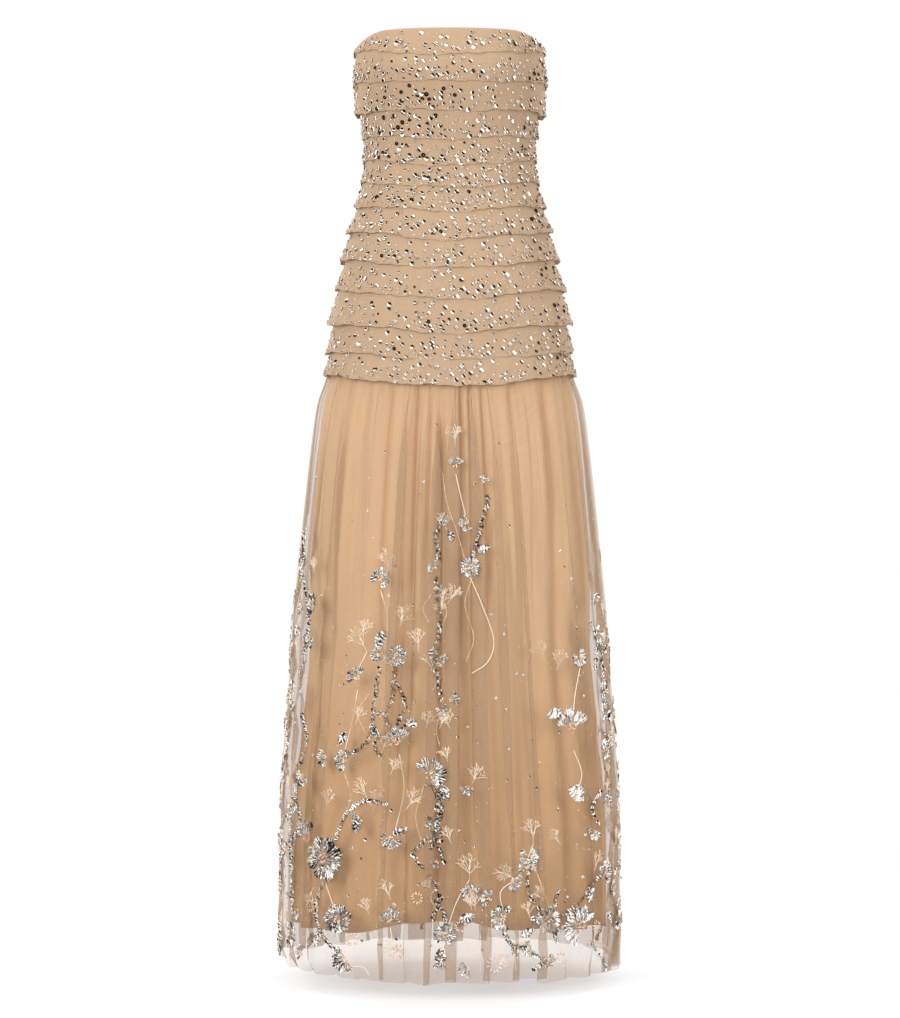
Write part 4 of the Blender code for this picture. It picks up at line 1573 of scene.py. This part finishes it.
def add_leaf(silver, angle, z, length, facing, rng):
    """A pointed silver leaf, pleated slantwise on both sides of its raised rib."""
    rows = max(7, 2 * round(length / (4.4 * MM)) + 1)
    columns = 5
    along = np.linspace(0, 1, rows)[:, None]
    across = np.linspace(-1, 1, columns)[None, :]
    half = 0.27 * length * np.sin(np.clip(along * 0.96 + 0.03, 0, 1) * math.pi) ** 0.75
    pleat = np.where(np.arange(rows) % 2 == 1, 1.0, 0.0)[:, None]
    x = (along - 0.06 * np.abs(across)) * length
    y = across * half * (1 + 0.12 * pleat)
    u = x * math.cos(facing) - y * math.sin(facing)
    v = x * math.sin(facing) + y * math.cos(facing)
    here, _, _, outward = tulle_seats(*place_on_tulle(angle, z, u.ravel(), v.ravel()))
    rise = 0.6 * MM + RIB_HEIGHT * pleat * np.abs(across) + 1.2 * MM * (1 - np.abs(across))
    rise = rise + rng.normal(0, 0.35 * MM, (rows, columns))
    silver.add_grid(here + outward * rise.reshape(-1, 1), rows, columns)


def add_beads(pile, angle, z, radii, rng, lift=0.0, surface=embroidered_at):
    here, across, up, outward = tulle_seats(angle, z, surface)
    none = np.zeros(len(radii))
    axes = tilted(across, up, outward, none, none, none)
    sizes_each_way = radii[:, None] * rng.uniform(0.85, 1.1, (len(radii), 3))
    pile.add(BEAD, here + outward * (radii[:, None] + lift), axes, sizes_each_way)


def add_burst(beads, angle, z, radius, rng):
    """A ring of short strokes, each a bugle bead, pointing outwards."""
    count = 11
    turn = np.linspace(0, TURN, count, endpoint=False) + rng.normal(0, 0.08, count)
    far = 0.7 * radius * rng.uniform(0.9, 1.1, count)
    here, across, up, outward = tulle_seats(
        *place_on_tulle(angle, z, far * np.cos(turn), far * np.sin(turn))
    )
    out = across * np.cos(turn)[:, None] + up * np.sin(turn)[:, None]
    axes = np.stack([out, np.cross(outward, out), outward], axis=-1)
    size = np.stack(
        [0.3 * radius * rng.uniform(0.8, 1.1, count), *np.full((2, count), 1.0 * MM)], axis=-1
    )
    beads.add(BEAD, here + outward * 0.9 * MM, axes, size)


def add_sprig(thread, beads, angle, z, sprig, rng):
    """A stem that parts into a fan of branching twigs with small beads at their tips."""
    height = 1.25 * sprig.height * MM
    facing = math.radians(sprig.facing)
    stem = np.array([math.cos(facing), math.sin(facing)]) * height
    twigs = [(np.zeros(2), facing, 0.5)]
    for lean in np.linspace(-0.75, 0.75, 6) + rng.normal(0, 0.08, 6):
        start, turn = rng.uniform(0.18, 0.46), facing + lean
        length = (1 - start) * rng.uniform(0.72, 1.0) * (1 - 0.3 * abs(lean))
        twigs.append((start * stem, turn, length))
        for share, side in ((0.5, 0.6), (0.66, -0.6), (0.82, 0.5)):
            fork = start * stem + share * length * height * np.array(
                [math.cos(turn), math.sin(turn)]
            )
            twigs.append((fork, turn + side * rng.uniform(0.8, 1.3), rng.uniform(0.1, 0.17)))
    tips = []
    for start, turn, length in twigs:
        steps = np.linspace(0, 1, max(3, round(length * height / (3 * MM))))
        bend = turn + 0.18 * steps * rng.normal()
        line = start + length * height * steps[:, None] * np.stack(
            [np.cos(bend), np.sin(bend)], axis=-1
        )
        here, _, _, outward = tulle_seats(*place_on_tulle(angle, z, line[:, 0], line[:, 1]))
        thread.add_tube(here + outward * 0.5 * MM, TWIG_RADIUS, 4)
        tips.append(line[-1])
    tips = np.array(tips[1:])
    spots = place_on_tulle(angle, z, tips[:, 0], tips[:, 1])
    add_beads(beads, *spots, rng.uniform(0.6, 0.95, len(tips)) * MM, rng)


def add_trail(kind, line, piles, rng):
    """A trail along (angle, z) points, as a chain of sequins, a string of beads or a stem."""
    reach = table_radius(TULLE, line[:, 0], line[:, 1])
    length = float(np.hypot(np.diff(line[:, 0]) * reach[1:], np.diff(line[:, 1])).sum())
    if kind == "stem":
        fine = smooth_line(line, max(8, int(length / (4 * MM))))
        here, _, _, outward = tulle_seats(fine[:, 0], fine[:, 1])
        piles["thread"].add_tube(here + outward * 0.6 * MM, STEM_RADIUS, 5)
        return
    spacing = CHAIN_SPACING if kind == "chain" else STRING_SPACING
    fine = smooth_line(line, max(4, int(length / spacing)))
    here, across, _, outward = tulle_seats(fine[:, 0], fine[:, 1])
    count = len(fine)
    if kind == "beads":
        add_beads(piles["beads"], fine[:, 0], fine[:, 1], rng.uniform(0.7, 1.0, count) * MM, rng)
        return
    along = unit(np.gradient(here, axis=0))
    lean = (
        along * rng.uniform(0.2, 0.8, count)[:, None]
        + across * rng.normal(0, 0.35, count)[:, None]
    )
    z_axis = unit(outward * 0.8 + lean)
    x_axis = unit(np.cross(along, z_axis) + TINY)
    axes = np.stack([x_axis, np.cross(z_axis, x_axis), z_axis], axis=-1)
    radii = rng.uniform(2.6, 3.5, count) * MM
    aside = across * rng.normal(0, 0.9 * MM, count)[:, None]
    piles["sequins"].add(
        SMALL_SEQUIN,
        here + outward * 1.5 * MM + aside,
        axes,
        np.repeat(radii[:, None], 3, axis=1),
    )


class GOWN_OT_embroidery(Operator):
    """Embroider the sheer skirt with flowers, sprigs, trails and loose sequins"""

    bl_idname = "gown.embroidery"
    bl_label = "Embroidery"

    def execute(self, context):
        palette = colours()
        petal = silver_foil("silver_petal", palette.silver, 0.95, 0.19, 0.7)
        sequin = silver_foil("silver_cup", palette.silver, 0.8, 0.07)
        bead = glass_bead("peach_bead", palette.peach)
        thread = silk_thread("cream_thread", palette.cream)
        for half, fill in (("front", self.fill_front), ("back", self.fill_back)):
            piles = {name: Pile() for name in ("petals", "sequins", "beads", "thread")}
            rng = np.random.default_rng(SKIRT_SEEDS[half])
            fill(piles, rng)
            start = -math.pi / 2 if half == "front" else math.pi / 2
            self.scatter_sequins(piles, start, rng)
            piles["petals"].build(f"silver_petals_{half}", petal, "silver_sequin", smooth=False)
            piles["sequins"].build(f"skirt_sequins_{half}", sequin, "silver_sequin")
            piles["beads"].build(f"peach_beads_{half}", bead, "peach_bead")
            piles["thread"].build(f"cream_stems_{half}", thread, "embroidery_thread")
        return {"FINISHED"}

    def fill_front(self, piles, rng):
        for flower in FRONT_FLOWERS:
            spot = front_spot(flower.across, flower.z)
            add_flower(piles["petals"], piles["beads"], *spot, flower, rng)
        for leaf in FRONT_LEAVES:
            spot = front_spot(leaf.across, leaf.z)
            add_leaf(piles["petals"], *spot, leaf.length * MM, math.radians(leaf.facing), rng)
        for sprig in FRONT_SPRIGS:
            spot = front_spot(sprig.across, sprig.z)
            add_sprig(piles["thread"], piles["beads"], *spot, sprig, rng)
        for burst in FRONT_BURSTS:
            add_burst(piles["beads"], *front_spot(burst.across, burst.z), burst.radius * MM, rng)
        for motif in CROWDED_MOTIFS:
            self.sew_motif(piles, rng, motif)
        for kind, line in FRONT_LINES + CROWDED_TRAILS:
            add_trail(kind, line, piles, rng)

    def sew_motif(self, piles, rng, motif):
        """One of the small flowers, leaves or sprigs of the crowded strips."""
        kind, angle, z, size = motif
        if kind == "flower":
            fan = rng.choice([130, 190, 260])
            flower = Flower(0, 0, size / MM, fan, rng.uniform(0, 360), 2 + round(fan / 70))
            add_flower(piles["petals"], piles["beads"], angle, z, flower, rng)
        elif kind == "leaf":
            add_leaf(piles["petals"], angle, z, size, rng.uniform(0, TURN), rng)
        elif kind == "sprig":
            sprig = Sprig(0, 0, size / MM, rng.uniform(60, 120))
            add_sprig(piles["thread"], piles["beads"], angle, z, sprig, rng)

    def fill_back(self, piles, rng):
        for motif in BACK_FLOWERS:
            size = motif.size / MM
            fan = rng.choice([150, 200, 260, 360])
            kind = Flower(0, 0, size, fan, rng.uniform(0, 360), 3 + round(fan / 90))
            add_flower(piles["petals"], piles["beads"], motif.angle, motif.z, kind, rng)
            if size < 16:
                low = max(motif.z - 1.6 * motif.size, LOWEST_LEAF)
                add_leaf(piles["petals"], motif.angle, low, 24 * MM, rng.uniform(0, TURN), rng)
        for motif in BACK_SPRIGS:
            kind = Sprig(0, 0, motif.size / MM, rng.uniform(50, 130))
            add_sprig(piles["thread"], piles["beads"], motif.angle, motif.z, kind, rng)
        for kind, line in BACK_TRAILS:
            add_trail(kind, line, piles, rng)

    def scatter_sequins(self, piles, start, rng):
        count = sizes().skirt_sequins // 2
        angle = start + rng.uniform(0.02, math.pi - 0.02, count)
        z = TULLE_TOP - 0.03 + (TULLE_HEM + 0.06 - TULLE_TOP) * rng.random(count) ** 0.55

        def seat(seat_angle, depth):
            return tulle_at(seat_angle, -depth)

        radii = rng.choice([1.3, 1.7, 2.3], count) * MM
        step, tilt, lift = 0.5 * MM, 0.25, 0.4 * MM
        sew_on(piles["sequins"], SMALL_SEQUIN, seat, angle, -z, step, radii, tilt, rng, lift)
        angle = start + rng.uniform(0.02, math.pi - 0.02, count)
        z = TULLE_TOP - 0.03 + (TULLE_HEM + 0.06 - TULLE_TOP) * rng.random(count) ** 0.5
        radii = rng.uniform(0.6, 0.95, count) * MM
        add_beads(piles["beads"], angle, z, radii, rng, surface=tulle_at)


class GOWN_OT_zip(Operator):
    """Finish the concealed zip: its tape, coil, slider and pull"""

    bl_idname = "gown.zip"
    bl_label = "Zip"

    def execute(self, context):
        tape = Nodes("zip_tape_cloth", 0.8)
        place = tape.add("ShaderNodeTexCoord").outputs["Object"]
        weave = tape.add(
            "ShaderNodeTexWave", {"bands_direction": "Z"}, Vector=place, Scale=320.0, Distortion=0.6
        ).outputs["Fac"]
        tape.link(tape.mix(weave, (0.50, 0.36, 0.22, 1), (0.62, 0.46, 0.30, 1)), "Base Color")
        tape.bump(weave, 0.1 * MM, 0.5)
        self.cover("zip_tape", tape)
        metal = Nodes("zip_metal", 0.24, metallic=1.0)
        brushed = metal.noise(metal.add("ShaderNodeTexCoord").outputs["Object"], 1600.0, 2.0)
        metal.link(metal.mix(brushed, (0.66, 0.61, 0.52, 1), (0.84, 0.79, 0.70, 1)), "Base Color")
        metal.bump(brushed, 0.03 * MM, 0.4)
        self.cover("zip_slider", metal)
        self.cover("zip_pull", metal)
        self.add_coil()
        return {"FINISHED"}

    def cover(self, name, nodes):
        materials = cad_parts[name].data.materials
        materials.clear()
        materials.append(nodes.material)

    def add_coil(self):
        """The zip's coil, as a row of small loops down the middle of the tape's inner face."""
        low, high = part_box("zip_tape")
        z = np.arange(low[2] + 4 * MM, high[2] - 4 * MM, 1.5 * MM)
        inside = torso_radius(np.full(len(z), math.pi), z) - BASE_WALL - 1.5 * MM
        places = round_points(np.full(len(z), math.pi), inside - 0.5 * MM, z)
        across, up = np.array([1.0, 0, 0]), np.array([0, 0, 1.0])
        axes = np.tile(np.stack([across, up, np.cross(across, up)], axis=-1), (len(z), 1, 1))
        coil = Pile()
        coil.add(BEAD, places, axes, np.tile([1.9 * MM, 0.6 * MM, 0.9 * MM], (len(z), 1)))
        thread = silk_thread("zip_coil_plastic", (0.62, 0.48, 0.34))
        coil.build("zip_coil", thread, "zip_tape")


HEM_STITCHES = 190
HEM_STITCH_SHARE = 0.986
SEAM_POINTS = 150


class GOWN_OT_stitching(Operator):
    """Sew the lining's hem and the side seams"""

    bl_idname = "gown.stitching"
    bl_label = "Stitching"

    def execute(self, context):
        thread = silk_thread("nude_sewing_thread", (0.66, 0.48, 0.31))
        stitches = Pile()
        for panel in ("front", "back"):
            angles = all_round(HEM_STITCHES)[panel]
            shares = np.full(HEM_STITCHES, HEM_STITCH_SHARE)
            here, across, up, outward = seats_on(lining_surface, angles, shares, 0.002)
            axes = np.stack([across, up, outward], axis=-1)
            size = np.tile([1.5 * MM, 0.3 * MM, 0.3 * MM], (len(angles), 1))
            stitches.add(BEAD, here + outward * 0.3 * MM, axes, size)
        stitches.build("lining_hem_stitches", thread, "embroidery_thread")
        seams = Pile()
        for side in (-math.pi / 2, math.pi / 2, math.pi):
            shares = np.linspace(0.004, 0.996, SEAM_POINTS)
            seams.add_tube(base_surface(np.full(SEAM_POINTS, side), shares), 0.45 * MM, 4)
        seams.build("base_seams", thread, "nude_base")
        return {"FINISHED"}


class GOWN_PT_panel(Panel):
    """Lists the steps that dress the gown"""

    bl_idname = "GOWN_PT_panel"
    bl_label = "Gown"
    bl_space_type = "VIEW_3D"
    bl_region_type = "UI"
    bl_category = "Gown"

    def draw(self, context):
        for group in (context.scene.gown_sizes, context.scene.gown_colours):
            for name in group.__annotations__:
                self.layout.prop(group, name)
        for step in STEPS:
            self.layout.operator(step.bl_idname)


STEPS = (
    GOWN_OT_stage,
    GOWN_OT_base_bodice,
    GOWN_OT_tiers,
    GOWN_OT_skirt,
    GOWN_OT_bodice_sequins,
    GOWN_OT_embroidery,
    GOWN_OT_zip,
    GOWN_OT_stitching,
)
CLASSES = (GownSizes, GownColours, *STEPS, GOWN_PT_panel)


def register():
    for item in CLASSES:
        bpy.utils.register_class(item)
    bpy.types.Scene.gown_sizes = PointerProperty(type=GownSizes)
    bpy.types.Scene.gown_colours = PointerProperty(type=GownColours)


def unregister():
    del bpy.types.Scene.gown_colours
    del bpy.types.Scene.gown_sizes
    for item in reversed(CLASSES):
        bpy.utils.unregister_class(item)


def main():
    register()
    bpy.ops.gown.stage()
    bpy.ops.gown.base_bodice()
    bpy.ops.gown.tiers()
    bpy.ops.gown.skirt()
    bpy.ops.gown.bodice_sequins()
    bpy.ops.gown.embroidery()
    bpy.ops.gown.zip()
    bpy.ops.gown.stitching()


if __name__ == "__main__":
    main()
